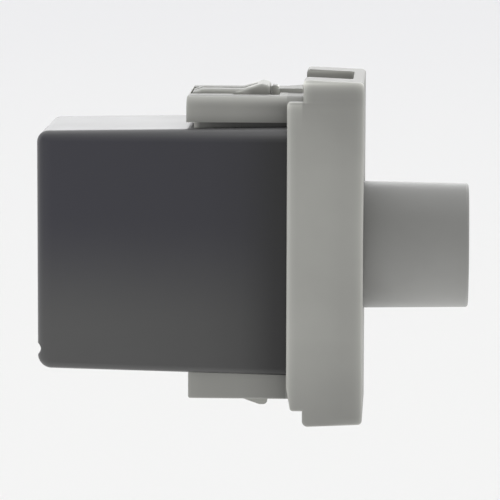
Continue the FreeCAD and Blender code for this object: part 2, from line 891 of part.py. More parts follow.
def knob():
    ceiling = knob_tip_x - knob_top_wall
    hub = hub_diameter / 2
    inner = knob_radius(ceiling) - knob_wall
    outline = [
        (knob_base_x, knob_radius(knob_base_x), well_edge),
        (knob_base_x, knob_radius(knob_base_x) - knob_wall, 0),
        (ceiling, inner, 0),
        (ceiling, hub, 0),
        (hub_rear_x, hub, 0),
        (hub_rear_x, 0, 0),
        (knob_tip_x, 0, 0),
        (knob_tip_x, knob_radius(knob_tip_x), knob_tip_edge),
    ]
    rib = box(hub_rear_x + hub_rib_start, ceiling + root, hub - root, inner + root,
              -hub_rib_thickness / 2, hub_rib_thickness / 2)
    ribs = around(rib, hub_rib_count, half_step=True)
    # The bore's flat leaves room for the spring clip on the spindle's flat.
    bore = flatted_rod(spindle_diameter / 2 + fit, spindle_flat + clip_sheet + slip,
                       hub_rear_x - over, spindle_front_x + over)
    return joined([turned(outline)] + ribs).cut(bore)


def knob_clip():
    # A strip between the two flats, with its rear end turned up behind the hub.
    rear_x = hub_rear_x - slip - clip_sheet
    front_x = spindle_front_x - inner_corner
    low = spindle_flat + fit / 2
    strip = [
        (rear_x, low, clip_sheet / 2),
        (front_x, low, 0),
        (front_x, low + clip_sheet, 0),
        (rear_x + clip_sheet, low + clip_sheet, clip_sheet / 3),
        (rear_x + clip_sheet, low + clip_sheet + clip_hook, 0),
        (rear_x, low + clip_sheet + clip_hook, 0),
    ]
    return prism_y(strip, -clip_width / 2, clip_width / 2)


def control_spindle():
    radius = spindle_diameter / 2
    tail = tail_diameter / 2
    outline = [
        (tail_end_x, 0, 0),
        (tail_end_x, tail - tail_chamfer, 0),
        (tail_end_x + tail_chamfer, tail, 0),
        (collar_rear_x, tail, 0),
        (collar_rear_x, radius + collar_rise, 0),
        (collar_front_x, radius + collar_rise, 0),
        (collar_front_x, radius, 0),
        (spindle_front_x - spindle_chamfer, radius, 0),
        (spindle_front_x, radius - spindle_chamfer, 0),
        (spindle_front_x, 0, 0),
    ]
    flat_start = bushing_front_x + push_travel + play
    cuts = [
        box(flat_start, spindle_front_x + over, -radius, radius, spindle_flat, radius + over),
        box(tail_end_x - over, collar_rear_x, -radius, radius, tail_flat, radius + over),
    ]
    return without(turned(outline), cuts)


# Control


def control_bushing():
    bore = spindle_diameter / 2 + running_gap
    thread = bushing_diameter / 2
    collar = bushing_collar_diameter / 2
    outline = [
        (bushing_rear_x, bore, 0),
        (bushing_rear_x, collar, 0),
        (frame_rear_x, collar, 0),
        (frame_rear_x, thread, 0),
        (bushing_front_x - bushing_chamfer, thread, 0),
        (bushing_front_x, thread - bushing_chamfer, 0),
        (bushing_front_x, bore, 0),
    ]
    return turned(outline)


def bushing_nut():
    rear_x = well_front_x + washer_thickness
    front_x = rear_x + nut_thickness
    corner = nut_across_flats / sqrt(3)
    hexagon = [(corner * cos(i * pi / 3), corner * sin(i * pi / 3), 0) for i in range(6)]
    # Turned chamfers take the points off the hexagon's corners.
    crown = turned([
        (rear_x, 0, 0),
        (rear_x, corner - nut_chamfer, 0),
        (rear_x + nut_chamfer, corner + slip, 0),
        (front_x - nut_chamfer, corner + slip, 0),
        (front_x, corner - nut_chamfer, 0),
        (front_x, 0, 0),
    ])
    blank = prism_x(hexagon, rear_x, front_x).common(crown)
    return blank.cut(rod(bushing_diameter / 2 + fit, rear_x - over, front_x + over))


def lock_washer():
    rear_x = well_front_x
    front_x = rear_x + washer_thickness
    inner = bushing_diameter / 2 + slip
    disc = rod(washer_diameter / 2, rear_x, front_x)
    gap = box(rear_x - over, front_x + over, inner - root, inner + washer_tooth_depth,
              -washer_tooth_gap / 2, washer_tooth_gap / 2)
    return without(disc, [rod(inner, rear_x - over, front_x + over)] + around(gap, washer_teeth))


def control_frame():
    half = control_width / 2
    outer = half + fit + frame_sheet
    plate = rounded_bar(frame_rear_x, well_rear_x, -outer, outer, -half, half, frame_corner)
    legs = bars(leg_places, control_board_rear_x - lead_stub, frame_rear_x + root, frame_sheet,
                frame_leg_width)
    # A lug in the well's floor keeps the control from turning.
    lug = rod(frame_lug_diameter / 2, well_rear_x - root, well_rear_x + well_floor / 2 - play, 0, lug_z)
    hole = rod(bushing_diameter / 2 + fit, frame_rear_x - over, well_rear_x + over)
    return joined([plate, lug] + legs).cut(hole)


def control_pins():
    rear_x = control_board_rear_x - lead_stub
    front_x = control_board_x + control_pin_depth
    return Part.makeCompound(bars(control_pin_places, rear_x, front_x, control_pin_width, control_pin_sheet))


def ring_sector(inner, outer, x0, x1, middle, half_angle):
    # A piece of a flat ring, about a middle angle measured from +Y towards +Z.
    far = 2 * outer
    corners = [(0, 0, 0)]
    for angle in (middle - half_angle, middle + half_angle):
        corners.append((far * cos(angle), far * sin(angle), 0))
    ring = rod(outer, x0, x1).cut(rod(inner, x0 - over, x1 + over))
    return ring.common(prism_x(corners, x0, x1))


def control_base():
    half = control_width / 2
    cavity = cavity_diameter / 2
    body = rounded_bar(control_board_x, frame_rear_x, -half, half, -half, half, control_corner)
    cuts = [
        rod(cavity, track_rear_x, frame_rear_x + over),
        rod(plunger_diameter / 2 + slip, cavity_floor_x, frame_rear_x),
    ]
    # The stop that the rotor's lobe meets at both ends of its turn.
    stop = ring_sector(rotor_diameter / 2 + play, cavity + root, track_rear_x, rotor_front_x + play,
                       -pi / 2, stop_half_angle)
    return joined([without(body, cuts), stop]).cut(control_pins())


def control_track():
    rear_x, front_x = track_rear_x - over, track_front_x + over
    disc = rod(cavity_diameter / 2 - slip, track_rear_x, track_front_x)
    key = ring_sector(rotor_diameter / 2, cavity_diameter, rear_x, front_x, -pi / 2,
                      stop_half_angle + stop_key_margin)
    return without(disc, [rod(tail_diameter / 2 + play, rear_x, front_x), key])


def wiper_rotor():
    radius = rotor_diameter / 2
    disc = rod(radius, rotor_rear_x, rotor_front_x)
    lobe = ring_sector(radius - root, cavity_diameter / 2 - play, rotor_rear_x, rotor_front_x, pi / 2,
                       lobe_half_angle)
    bore = flatted_rod(tail_diameter / 2 + running_gap, tail_flat + running_gap, rotor_rear_x - over,
                       rotor_front_x + over)
    return joined([disc, lobe]).cut(bore)


def wiper_contact():
    # A thin ring under the rotor, with two dimples that ride on the track.
    inner = tail_diameter / 2 + contact_inset
    outer = rotor_diameter / 2 - contact_inset
    rear_x = rotor_rear_x - contact_sheet
    ring = rod(outer, rear_x, rotor_rear_x).cut(rod(inner, rear_x - over, rotor_rear_x + over))
    dimples = [rod(contact_dimple_diameter / 2, rear_x - contact_dimple, rotor_rear_x, 0,
                   side * (inner + outer) / 2) for side in (1, -1)]
    return joined([ring] + dimples)


def switch_plunger():
    radius = plunger_diameter / 2
    neck = tail_diameter / 2 - slip
    skirt_x = plunger_rear_x - plunger_skirt
    outline = [
        (pusher_rear_x, 0, 0),
        (pusher_rear_x, pusher_diameter / 2, 0),
        (plunger_rear_x, pusher_diameter / 2, 0),
        (plunger_rear_x, radius - plunger_rim, 0),
        (skirt_x, radius - plunger_rim, 0),
        (skirt_x, radius, 0),
        (plunger_top_x, radius, 0),
        (plunger_top_x, neck, 0),
        (tail_end_x - fit, neck, 0),
        (tail_end_x - fit, 0, 0),
    ]
    return turned(outline)


def snap_dome():
    # A thin spherical cap that stands on the floor of the switch.
    half = dome_diameter / 2
    radius = (half ** 2 + dome_rise ** 2) / (2 * dome_rise)
    centre = vec(cavity_floor_x + dome_rise - radius, 0, 0)
    shell = Part.makeSphere(radius, centre).cut(Part.makeSphere(radius - dome_sheet, centre))
    return shell.common(rod(half + over, cavity_floor_x, cavity_floor_x + dome_rise + over))


# Boards and what stands on them


def leads(places, x0, x1):
    return [rod(lead_diameter / 2, x0, x1, y, z) for y, z in places]


def bars(places, x0, x1, width_y, width_z):
    return [box(x0, x1, y - width_y / 2, y + width_y / 2, z - width_z / 2, z + width_z / 2)
            for y, z in places]


def board(front_x, holes):
    plate = rounded_bar(front_x - board_thickness, front_x, -board_half_width, board_half_width,
                        board_bottom_z, board_top_z, board_corner)
    return without(plate, holes)


def slots(front_x, places, width_y, width_z):
    # Slots through a board for flat pins, with room for solder.
    return bars(places, front_x - board_thickness - over, front_x + over,
                width_y + 2 * lead_gap, width_z + 2 * lead_gap)


def power_board():
    holes = [rod(lead_diameter / 2 + lead_gap, power_board_rear_x - over, power_board_x + over, y, z)
             for y, z in film_leads + can_leads + varistor_leads + fuse_leads + choke_leads + snubber_leads]
    holes += slots(power_board_x, link_places, link_pin, link_pin)
    holes += slots(power_board_x, mosfet_leads, mosfet_lead_sheet, mosfet_lead_width)
    holes += slots(power_board_x, sink_pegs, sink_sheet, sink_peg_width)
    holes += slots(power_board_x, bar_pins, bar_pin_width, bar_thickness)
    return board(power_board_x, holes)


def control_board():
    holes = slots(control_board_x, link_places, link_pin, link_pin)
    holes += slots(control_board_x, control_pin_places, control_pin_width, control_pin_sheet)
    holes += slots(control_board_x, leg_places, frame_sheet, frame_leg_width)
    return board(control_board_x, holes)


def link_pins():
    return Part.makeCompound(bars(link_places, power_board_rear_x + slip, control_board_x + lead_stub,
                                  link_pin, link_pin))


def link_spacer():
    rear_x = control_board_rear_x - spacer_thickness
    half_z = link_pitch * link_count / 2
    strip = rounded_bar(rear_x, control_board_rear_x, link_y - spacer_outer, link_y + spacer_inner,
                        -half_z, half_z, inner_corner)
    bore = link_pin + fit
    return without(strip, bars(link_places, rear_x - over, control_board_rear_x + over, bore, bore))


def controller_chip():
    # A flat package with a row of bent leads on each long side.
    seat_x = control_board_rear_x
    half_y = chip_width / 2
    top_x = seat_x - slip - chip_height
    body = box(top_x, seat_x - slip, chip_y - half_y, chip_y + half_y,
               chip_z - chip_length / 2, chip_z + chip_length / 2)
    body = body.makeChamfer(chip_chamfer, edges_where(body, lambda p: near(p.x, top_x)))
    shoulder_x = seat_x - chip_lead_rise - chip_lead_sheet
    foot_x = seat_x - chip_lead_sheet
    parts = [body]
    for side in (1, -1):
        toe = chip_y + side * (half_y + chip_lead_toe)
        knee = chip_y + side * (half_y + chip_lead_knee)
        inner = chip_y + side * (half_y - root)
        bend = knee + side * chip_lead_sheet
        # Foot, riser and shoulder of one lead, drawn in the plane of the lead.
        outline = [
            (seat_x, toe, 0),
            (seat_x, knee, 0),
            (seat_x - chip_lead_rise, knee, 0),
            (seat_x - chip_lead_rise, inner, 0),
            (shoulder_x, inner, 0),
            (shoulder_x, bend, 0),
            (foot_x, bend, 0),
            (foot_x, toe, 0),
        ]
        for i in range(chip_leads_per_side):
            z = chip_z + chip_lead_pitch * (i - (chip_leads_per_side - 1) / 2)
            parts.append(prism_z(outline, z - chip_lead_width / 2, z + chip_lead_width / 2))
    return joined(parts)


def chip_parts():
    # Small two-ended parts in two rows beside the control chip.
    places = [(y, z) for z in small_part_columns for y in small_part_rows]
    return Part.makeCompound(bars(places, control_board_rear_x - small_part_height, control_board_rear_x,
                                  small_part_length, small_part_width))


def rear_part(body, places):
    # A body behind the power board, with leads that end inside the board.
    return joined([body] + leads(places, power_board_rear_x - stand_gap - over, power_board_x - slip))


def front_part(body, places):
    # A body before the power board, with leads that end inside the board.
    return joined([body] + leads(places, power_board_rear_x + slip, power_board_x + play + over))


def film_capacitor():
    front_x = power_board_rear_x - stand_gap
    rear_x = front_x - film_depth
    body = rounded_bar(rear_x, front_x, film_y - film_length / 2, film_y + film_length / 2,
                       film_z - film_height / 2, film_z + film_height / 2, film_edge)
    body = body.makeChamfer(film_chamfer, edges_where(body, lambda p: near(p.x, rear_x)))
    return rear_part(body, film_leads)


def electrolytic_capacitor():
    front_x = power_board_rear_x - stand_gap
    rear_x = front_x - can_depth
    radius = can_diameter / 2
    crimp_x = front_x - can_crimp_place
    # The can is crimped onto its rubber plug.
    outline = [
        (rear_x, 0, 0),
        (rear_x, radius - can_chamfer, 0),
        (rear_x + can_chamfer, radius, 0),
        (crimp_x - can_crimp_half, radius, 0),
        (crimp_x, radius - can_crimp, 0),
        (crimp_x + can_crimp_half, radius, 0),
        (front_x - can_chamfer, radius, 0),
        (front_x, radius - can_chamfer, 0),
        (front_x, 0, 0),
    ]
    # A cross is pressed into the end as a vent.
    vents = [box(rear_x - over, rear_x + can_vent_depth, can_y - a / 2, can_y + a / 2,
                 can_z - b / 2, can_z + b / 2)
             for a, b in ((can_vent_length, can_vent), (can_vent, can_vent_length))]
    return rear_part(without(turned(outline, can_y, can_z), vents), can_leads)


def varistor():
    radius = varistor_diameter / 2
    x = power_board_rear_x - 2 * over - radius + stand_gap
    disc = cross_rod(radius, x, varistor_z, varistor_y - varistor_thickness / 2,
                     varistor_y + varistor_thickness / 2)
    disc = disc.makeChamfer(varistor_edge,
                            edges_where(disc, lambda p: near(hypot(p.x - x, p.z - varistor_z), radius)))
    return joined([disc] + leads(varistor_leads, x + radius / 2, power_board_x - slip))


def fuse():
    front_x = power_board_rear_x - stand_gap
    rear_x = front_x - fuse_depth
    body = rounded_bar(rear_x, front_x, fuse_y - fuse_width / 2, fuse_y + fuse_width / 2,
                       fuse_z - fuse_height / 2, fuse_z + fuse_height / 2, fuse_edge)
    body = body.makeChamfer(fuse_chamfer, edges_where(body, lambda p: near(p.x, rear_x)))
    return rear_part(body, fuse_leads)


def drum_choke():
    # A drum core in a shrunk sleeve, which shows the core's rims as two low ridges.
    rear_x = power_board_x + stand_gap
    front_x = rear_x + choke_length
    rim = choke_diameter / 2
    waist = choke_waist / 2
    outline = [
        (rear_x, 0, 0),
        (rear_x, rim - play, 0),
        (rear_x + choke_rim / 2, rim, 0),
        (rear_x + choke_rim, waist, 0),
        (front_x - choke_rim, waist, 0),
        (front_x - choke_rim / 2, rim, 0),
        (front_x, rim - play, 0),
        (front_x, 0, 0),
    ]
    return front_part(turned(outline, choke_y, choke_z), choke_leads)


def snubber_capacitor():
    rear_x = power_board_x + stand_gap
    front_x = rear_x + snubber_depth
    half_y = snubber_thickness / 2
    half_z = snubber_length / 2
    body = rounded_bar(rear_x, front_x, snubber_y - half_y, snubber_y + half_y,
                       snubber_z - half_z, snubber_z + half_z, film_edge)
    body = body.makeChamfer(film_chamfer, edges_where(body, lambda p: near(p.x, front_x)))
    return front_part(body, snubber_leads)


# Power transistors and their heat sink


def mosfet(z):
    front_x = mosfet_x + mosfet_length
    face_y = mosfet_back_y - mosfet_thickness
    body = box(mosfet_x, front_x, face_y, mosfet_back_y, z - mosfet_width / 2, z + mosfet_width / 2)
    body = body.makeChamfer(trim, edges_where(body, lambda p: near(p.y, face_y)))
    tab_x = front_x + mosfet_tab
    tab = box(front_x - mosfet_tab_sheet, tab_x, mosfet_back_y - mosfet_tab_sheet, mosfet_back_y,
              z - mosfet_tab_width / 2, z + mosfet_tab_width / 2)
    ends = edges_where(tab, lambda p: near(p.x, tab_x) and near(abs(p.z - z), mosfet_tab_width / 2))
    tab = tab.makeChamfer(mosfet_tab / 2, ends)
    places = [(mosfet_lead_y, z + i * mosfet_lead_pitch) for i in (-1, 0, 1)]
    legs = bars(places, power_board_rear_x + slip, mosfet_x + root, mosfet_lead_sheet, mosfet_lead_width)
    return joined([body, tab] + legs)


def clamp_hole(gap, y0, y1):
    return cross_rod(clamp_screw_diameter / 2 + gap, clamp_x, sink_z, y0 - over, y1 + over)


def insulating_pad():
    half_z = (mosfet_pitch + mosfet_width) / 2 + pad_margin
    rear_x = mosfet_x - pad_margin
    front_x = mosfet_x + mosfet_length + mosfet_tab + pad_margin
    pad = box(rear_x, front_x, mosfet_back_y, sink_y, sink_z - half_z, sink_z + half_z)
    return pad.cut(clamp_hole(slip, mosfet_back_y, sink_y))


def heat_sink():
    # A sheet bent into a channel, with two pegs in the power board.
    low, high = sink_z - sink_height / 2, sink_z + sink_height / 2
    lip_y = sink_y - sink_lip
    bend = sink_sheet + play
    section = [
        (lip_y, low, trim),
        (sink_y + sink_sheet, low, bend),
        (sink_y + sink_sheet, high, bend),
        (lip_y, high, trim),
        (lip_y, high - sink_sheet, trim),
        (sink_y, high - sink_sheet, play),
        (sink_y, low + sink_sheet, play),
        (lip_y, low + sink_sheet, trim),
    ]
    rear_x = power_board_x + sink_stand
    channel = prism_x(section, rear_x, control_board_rear_x - sink_end_gap)
    pegs = bars(sink_pegs, power_board_rear_x + slip, rear_x + root, sink_sheet, sink_peg_width)
    return joined([channel] + pegs).cut(clamp_hole(fit, sink_y, sink_y + sink_sheet))


def clamp_bar():
    # A spring strip that presses on both transistors, with its ends turned up.
    half = (mosfet_pitch + mosfet_width) / 2
    flat = half - clamp_strip_end
    lower_y = mosfet_back_y - mosfet_thickness
    run = [
        (lower_y - clamp_strip_turn, -half, 0),
        (lower_y, -flat, inner_corner),
        (lower_y, flat, inner_corner),
        (lower_y - clamp_strip_turn, half, 0),
    ]
    section = [(y, sink_z + z, radius) for y, z, radius in run]
    section += [(y - clamp_strip, sink_z + z, radius) for y, z, radius in reversed(run)]
    strip = prism_x(section, clamp_x - clamp_strip_width / 2, clamp_x + clamp_strip_width / 2)
    return strip.cut(clamp_hole(slip, clamp_head_y, lower_y))


def clamp_screw():
    top_y = clamp_head_y - clamp_head
    shank = cross_rod(clamp_screw_diameter / 2, clamp_x, sink_z, clamp_head_y - root,
                      clamp_head_y + clamp_screw_reach)
    head = cross_rod(clamp_head_diameter / 2, clamp_x, sink_z, top_y, clamp_head_y)
    head = head.makeChamfer(trim, edges_where(head, lambda p: near(p.y, top_y)))
    cross = [box(clamp_x - a / 2, clamp_x + a / 2, top_y - over, top_y + cross_slot_depth,
                 sink_z - b / 2, sink_z + b / 2)
             for a, b in ((cross_slot_length, cross_slot), (cross_slot, cross_slot_length))]
    return without(joined([shank, head]), cross)


# Terminals


def terminal_housing():
    half = cavity_half_width - slip
    chamber_y = cage_width / 2 + slip
    chamber_z = cage_height / 2 + play
    funnel_height = pole_z - chamber_z - block_bottom_z + 2 * slip
    bar_half = bar_width / 2 + slip
    channel_top = bar_pin_z + bar_thickness / 2 + slip
    channel_low = bar_pin_z - bar_thickness / 2 - slip
    cuts = []
    for y in poles:
        # Chamber of the cage, bore of the screw's head, wire funnel, and channel of the contact bar.
        cuts.append(box(head_front_x, cage_front_x + play, y - chamber_y, y + chamber_y,
                        pole_z - chamber_z, pole_z + chamber_z))
        cuts.append(rod(screw_head_diameter / 2 + slip, block_rear_x - over, head_front_x + fit, y, pole_z))
        cuts.append(Part.makeCone(wire_entry_diameter / 2, wire_entry_diameter / 2 - wire_funnel,
                                  funnel_height, vec(wire_x, y, block_bottom_z - slip), vec(0, 0, 1)))
        for front_x, low_z in ((bar_front_x + slip, pole_z), (block_front_x + over, channel_low)):
            cuts.append(box(bar_rear_x - slip, front_x, y - bar_half, y + bar_half, low_z, channel_top))
    return without(box(block_rear_x, block_front_x, -half, half, block_bottom_z, block_top_z), cuts)


def terminal_bars():
    upper = bar_pin_z + bar_thickness / 2
    lower = bar_pin_z - bar_thickness / 2
    foot_z = pole_z - cage_height / 2
    outline = [
        (bar_rear_x, foot_z, bar_bend),
        (bar_front_x, foot_z, bar_bend),
        (bar_front_x, lower, bar_bend),
        (block_front_x - play, lower, 0),
        (block_front_x - play, upper, 0),
        (bar_rear_x, upper, bar_thickness + bar_bend),
    ]
    pieces = []
    for y in poles:
        bent = prism_y(outline, y - bar_width / 2, y + bar_width / 2)
        pin = box(block_front_x - play - root, power_board_x - slip, y - bar_pin_width / 2,
                  y + bar_pin_width / 2, lower, upper)
        pieces.append(joined([bent, pin]))
    return Part.makeCompound(pieces)


def terminal_cage(y):
    half_y = cage_width / 2
    half_z = cage_height / 2
    window_half = half_y - cage_side
    blank = box(cage_rear_x, cage_front_x, y - half_y, y + half_y, pole_z - half_z, pole_z + half_z)
    bends = edges_where(blank, lambda p: near(abs(p.y - y), half_y)
                        and (near(p.x, cage_rear_x) or near(p.x, cage_front_x)))
    blank = blank.makeFillet(cage_edge, bends)
    cuts = [
        box(cage_inner_x, cage_stop_x, y - window_half, y + window_half, pole_z - half_z - over,
            pole_z + half_z + over),
        rod(screw_diameter / 2 + running_gap, cage_rear_x - over, cage_inner_x + over, y, pole_z),
    ]
    # Grooves across the clamping wall grip the wire.
    for i in (-1, 0, 1):
        z = pole_z + i * cage_groove_pitch
        cuts.append(box(cage_stop_x - slip, cage_stop_x + cage_groove_depth,
                        y - window_half, y + window_half, z - cage_groove / 2, z + cage_groove / 2))
    return without(blank.removeSplitter(), cuts)


def terminal_screw(y):
    head = screw_head_diameter / 2
    shank = screw_diameter / 2
    tip_x = bar_rear_x - slip
    outline = [
        (head_rear_x, 0, 0),
        (head_rear_x, head - trim, 0),
        (head_rear_x + trim, head, 0),
        (head_front_x, head, 0),
        (head_front_x, shank, 0),
        (tip_x - screw_chamfer, shank, 0),
        (tip_x, shank - screw_chamfer, 0),
        (tip_x, 0, 0),
    ]
    cross = [box(head_rear_x - over, head_rear_x + screw_slot_depth, y - a / 2, y + a / 2,
                 pole_z - b / 2, pole_z + b / 2)
             for a, b in ((screw_slot_length, screw_slot), (screw_slot, screw_slot_length))]
    return without(turned(outline, y, pole_z), cross)


pieces = {
    "front_cover": front_cover(),
    "release_latch": release_latch(),
    "rear_casing": rear_casing(),
    "knob": knob(),
    "knob_clip": knob_clip(),
    "control_spindle": control_spindle(),
    "control_bushing": control_bushing(),
    "bushing_nut": bushing_nut(),
    "lock_washer": lock_washer(),
    "control_frame": control_frame(),
    "control_base": control_base(),
    "control_track": control_track(),
    "wiper_rotor": wiper_rotor(),
    "wiper_contact": wiper_contact(),
    "switch_plunger": switch_plunger(),
    "snap_dome": snap_dome(),
    "control_pins": control_pins(),
    "control_board": control_board(),
    "controller_chip": controller_chip(),
    "chip_parts": chip_parts(),
    "link_pins": link_pins(),
    "link_spacer": link_spacer(),
    "power_board": power_board(),
    "terminal_housing": terminal_housing(),
    "terminal_bars": terminal_bars(),
    "film_capacitor": film_capacitor(),
    "electrolytic_capacitor": electrolytic_capacitor(),
    "varistor": varistor(),
    "fuse": fuse(),
    "drum_choke": drum_choke(),
    "snubber_capacitor": snubber_capacitor(),
    "heat_sink": heat_sink(),
    "insulating_pad": insulating_pad(),
    "clamp_bar": clamp_bar(),
    "clamp_screw": clamp_screw(),
}
for number, y in enumerate(poles, 1):
    pieces[f"terminal_cage_{number}"] = terminal_cage(y)
    pieces[f"terminal_screw_{number}"] = terminal_screw(y)
for number, z in enumerate(mosfets, 1):
    pieces[f"mosfet_{number}"] = mosfet(z)

os.makedirs("parts", exist_ok=True)
for name, shape in pieces.items():
    shape.exportStep(f"parts/{name}.step")
    print(name, "solids", len(shape.Solids), "volume", round(shape.Volume, 2), "valid", shape.isValid())
print("latch pivot", round(pivot_x, 3), round(pivot_z, 3))
print("pole height", round(pole_z, 3), "wire x", round(wire_x, 3))
print("casing bottom there", round(casing_bottom(wire_x), 3))
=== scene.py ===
import bpy
import math
from mathutils import Matrix, Vector


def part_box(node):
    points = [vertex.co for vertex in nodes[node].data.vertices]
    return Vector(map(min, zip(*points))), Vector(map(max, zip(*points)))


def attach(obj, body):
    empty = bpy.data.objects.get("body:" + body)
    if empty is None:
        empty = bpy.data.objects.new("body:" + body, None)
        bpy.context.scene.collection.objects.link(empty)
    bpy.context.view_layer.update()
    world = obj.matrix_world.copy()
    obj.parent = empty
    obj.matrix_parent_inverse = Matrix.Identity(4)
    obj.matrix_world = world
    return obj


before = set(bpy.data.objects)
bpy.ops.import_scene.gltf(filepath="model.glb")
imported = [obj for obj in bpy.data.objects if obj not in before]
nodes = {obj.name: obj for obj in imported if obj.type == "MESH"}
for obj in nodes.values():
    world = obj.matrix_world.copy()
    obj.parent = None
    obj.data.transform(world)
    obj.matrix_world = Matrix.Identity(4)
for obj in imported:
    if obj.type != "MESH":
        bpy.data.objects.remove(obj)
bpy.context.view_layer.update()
scene = bpy.context.scene
scene.view_settings.view_transform = "Standard"
mm = 0.001
print("frame loaded:", len(nodes), "nodes")


# The view of the photograph: a long lens a little above the module and a little towards its front.
view = {
    "azimuth": 2.4,
    "elevation": 7.62,
    "roll": 0.18,
    "distance": 540,
    "lens": 266.0,
    "aim": (-8.03, 0, -1.015),
}


def setCamera(look):
    azimuth, elevation, roll = (math.radians(look[key]) for key in ("azimuth", "elevation", "roll"))
    back = Vector((math.sin(azimuth) * math.cos(elevation), -math.cos(azimuth) * math.cos(elevation),
                   math.sin(elevation)))
    right = Vector((math.cos(azimuth), math.sin(azimuth), 0))
    up = back.cross(right)
    side = right * math.cos(roll) + up * math.sin(roll)
    top = up * math.cos(roll) - right * math.sin(roll)
    eye = Vector(look["aim"]) * mm + back * look["distance"] * mm
    data = bpy.data.cameras.new("camera")
    data.lens = look["lens"]
    data.clip_start = 0.01
    camera = bpy.data.objects.new("camera", data)
    camera.matrix_world = Matrix.Translation(eye) @ Matrix((side, top, back)).transposed().to_4x4()
    scene.collection.objects.link(camera)
    scene.camera = camera


setCamera(view)
print("camera set")


class Flow:
    # one output socket, so that shader maths reads as plain arithmetic
    def __init__(self, finish, socket):
        self.finish = finish
        self.socket = socket

    def blend(self, operation, first, second):
        return self.finish.node("ShaderNodeMath", {"operation": operation}, {0: first, 1: second})

    def __add__(self, other):
        return self.blend("ADD", self, other)

    def __radd__(self, other):
        return self.blend("ADD", other, self)

    def __sub__(self, other):
        return self.blend("SUBTRACT", self, other)

    def __rsub__(self, other):
        return self.blend("SUBTRACT", other, self)

    def __mul__(self, other):
        return self.blend("MULTIPLY", self, other)

    def __rmul__(self, other):
        return self.blend("MULTIPLY", other, self)

    def __truediv__(self, other):
        return self.blend("DIVIDE", self, other)

    def __pow__(self, other):
        return self.blend("POWER", self, other)

    def __abs__(self):
        return self.blend("ABSOLUTE", self, 0.0)


class Finish:
    # the nodes of one material or of the world, made one after another
    def __init__(self, holder, output="ShaderNodeOutputMaterial"):
        self.holder = holder
        self.outputKind = output
        holder.use_nodes = True
        self.tree = holder.node_tree
        self.tree.nodes.clear()

    def node(self, kind, settings=None, sockets=None, output=0):
        made = self.tree.nodes.new(kind)
        for key, value in (settings or {}).items():
            if key == "stops":
                setStops(made.color_ramp, value)
            else:
                setattr(made, key, value)
        for key, value in (sockets or {}).items():
            if isinstance(value, Flow):
                self.tree.links.new(value.socket, made.inputs[key])
            else:
                made.inputs[key].default_value = value
        return Flow(self, made.outputs[output])

    def place(self):
        # where a point is on the module, in millimetres
        metres = self.node("ShaderNodeTexCoord", output="Object")
        return self.node("ShaderNodeVectorMath", {"operation": "SCALE"}, {0: metres, "Scale": 1 / mm})

    def axis(self, place, letter):
        return self.node("ShaderNodeSeparateXYZ", None, {0: place}, letter)

    def noise(self, place, size, detail=2.0, stretch=(1, 1, 1)):
        # cloudy values around 0.5, whose lumps are about size millimetres across
        sized = self.node("ShaderNodeMapping", None, {"Vector": place, "Scale": [s / size for s in stretch]})
        return self.node("ShaderNodeTexNoise", None, {"Vector": sized, "Scale": 1.0, "Detail": detail})

    def rise(self, value, low, high):
        # 0 below low, 1 above high, smooth between
        return self.node("ShaderNodeMapRange", {"interpolation_type": "SMOOTHSTEP"},
                         {0: value, 1: low, 2: high, 3: 0.0, 4: 1.0})

    def fall(self, value, low, high):
        # 1 below low, 0 above high, smooth between
        return 1 - self.rise(value, low, high)

    def within(self, value, low, high, soft):
        # 1 between low and high, with soft shoulders inside them
        return self.rise(value, low, low + soft) * self.fall(value, high - soft, high)

    def larger(self, first, second):
        return self.node("ShaderNodeMath", {"operation": "MAXIMUM"}, {0: first, 1: second})

    def graded(self, value, shares):
        # a share of the colour that follows value, straight between the (value, share) pairs
        low, high = shares[0][0], shares[-1][0]
        most = max(share for place, share in shares)
        stops = [((place - low) / (high - low), shade((1, 1, 1), share / most)) for place, share in shares]
        ramp = self.node("ShaderNodeValToRGB", {"stops": stops}, {0: (value - low) / (high - low)})
        return most * self.axis(ramp, "X")

    def scaled(self, colour, share):
        return self.node("ShaderNodeVectorMath", {"operation": "SCALE"}, {0: colour, "Scale": share})

    def mix(self, factor, first, second):
        return self.node("ShaderNodeMix", {"data_type": "RGBA"}, {0: factor, 6: first, 7: second}, 2)

    def bump(self, height, depth):
        return self.node("ShaderNodeBump", None, {"Height": height, "Distance": depth * mm, "Strength": 1.0})

    def close(self, sockets):
        return self.end(self.node("ShaderNodeBsdfPrincipled", None, sockets))

    def end(self, shader):
        output = self.tree.nodes.new(self.outputKind)
        self.tree.links.new(shader.socket, output.inputs["Surface"])
        return self.holder


def setStops(ramp, stops):
    while len(ramp.elements) < len(stops):
        ramp.elements.new(0.5)
    for element, (place, colour) in zip(ramp.elements, stops):
        element.position = place
        element.color = colour


def newFinish(name):
    return Finish(bpy.data.materials.new(name))


def shade(colour, share=1.0):
    return (*(channel * share for channel in colour), 1.0)


def dress(material, *names):
    for name in names:
        slots = nodes[name].data.materials
        for i in range(len(slots)):
            slots[i] = material
        if not len(slots):
            slots.append(material)


# The studio: a pale floor well below the module, a sky that is brighter at the back, four soft suns and a
# wide lamp below, on the camera's side.
studio = {
    "floorDrop": 115,
    "floorSize": 12000,
    "floorNear": (0.893, 0.893, 0.890),
    "floorFar": (0.836, 0.836, 0.850),
    "floorNearY": 300,
    "floorFarY": 2400,
    "skyColour": (0.85, 0.85, 0.865),
    "skyFront": 0.42,      # light from the side where the camera stands
    "skyBack": 0.80,
    "suns": {
        "top sun": {"strength": 0.94, "spread": 80, "tilt": 20, "turn": 190},
        "back sun": {"strength": 0.66, "spread": 40, "tilt": 76, "turn": 178},
        "side sun": {"strength": 0.5, "spread": 50, "tilt": 74, "turn": 270},
        "front sun": {"strength": 0.4, "spread": 50, "tilt": 76, "turn": 90},
    },
    "underLamp": {"power": 0.17, "size": 400, "drop": 100, "forward": 60},      # light off a low table
}


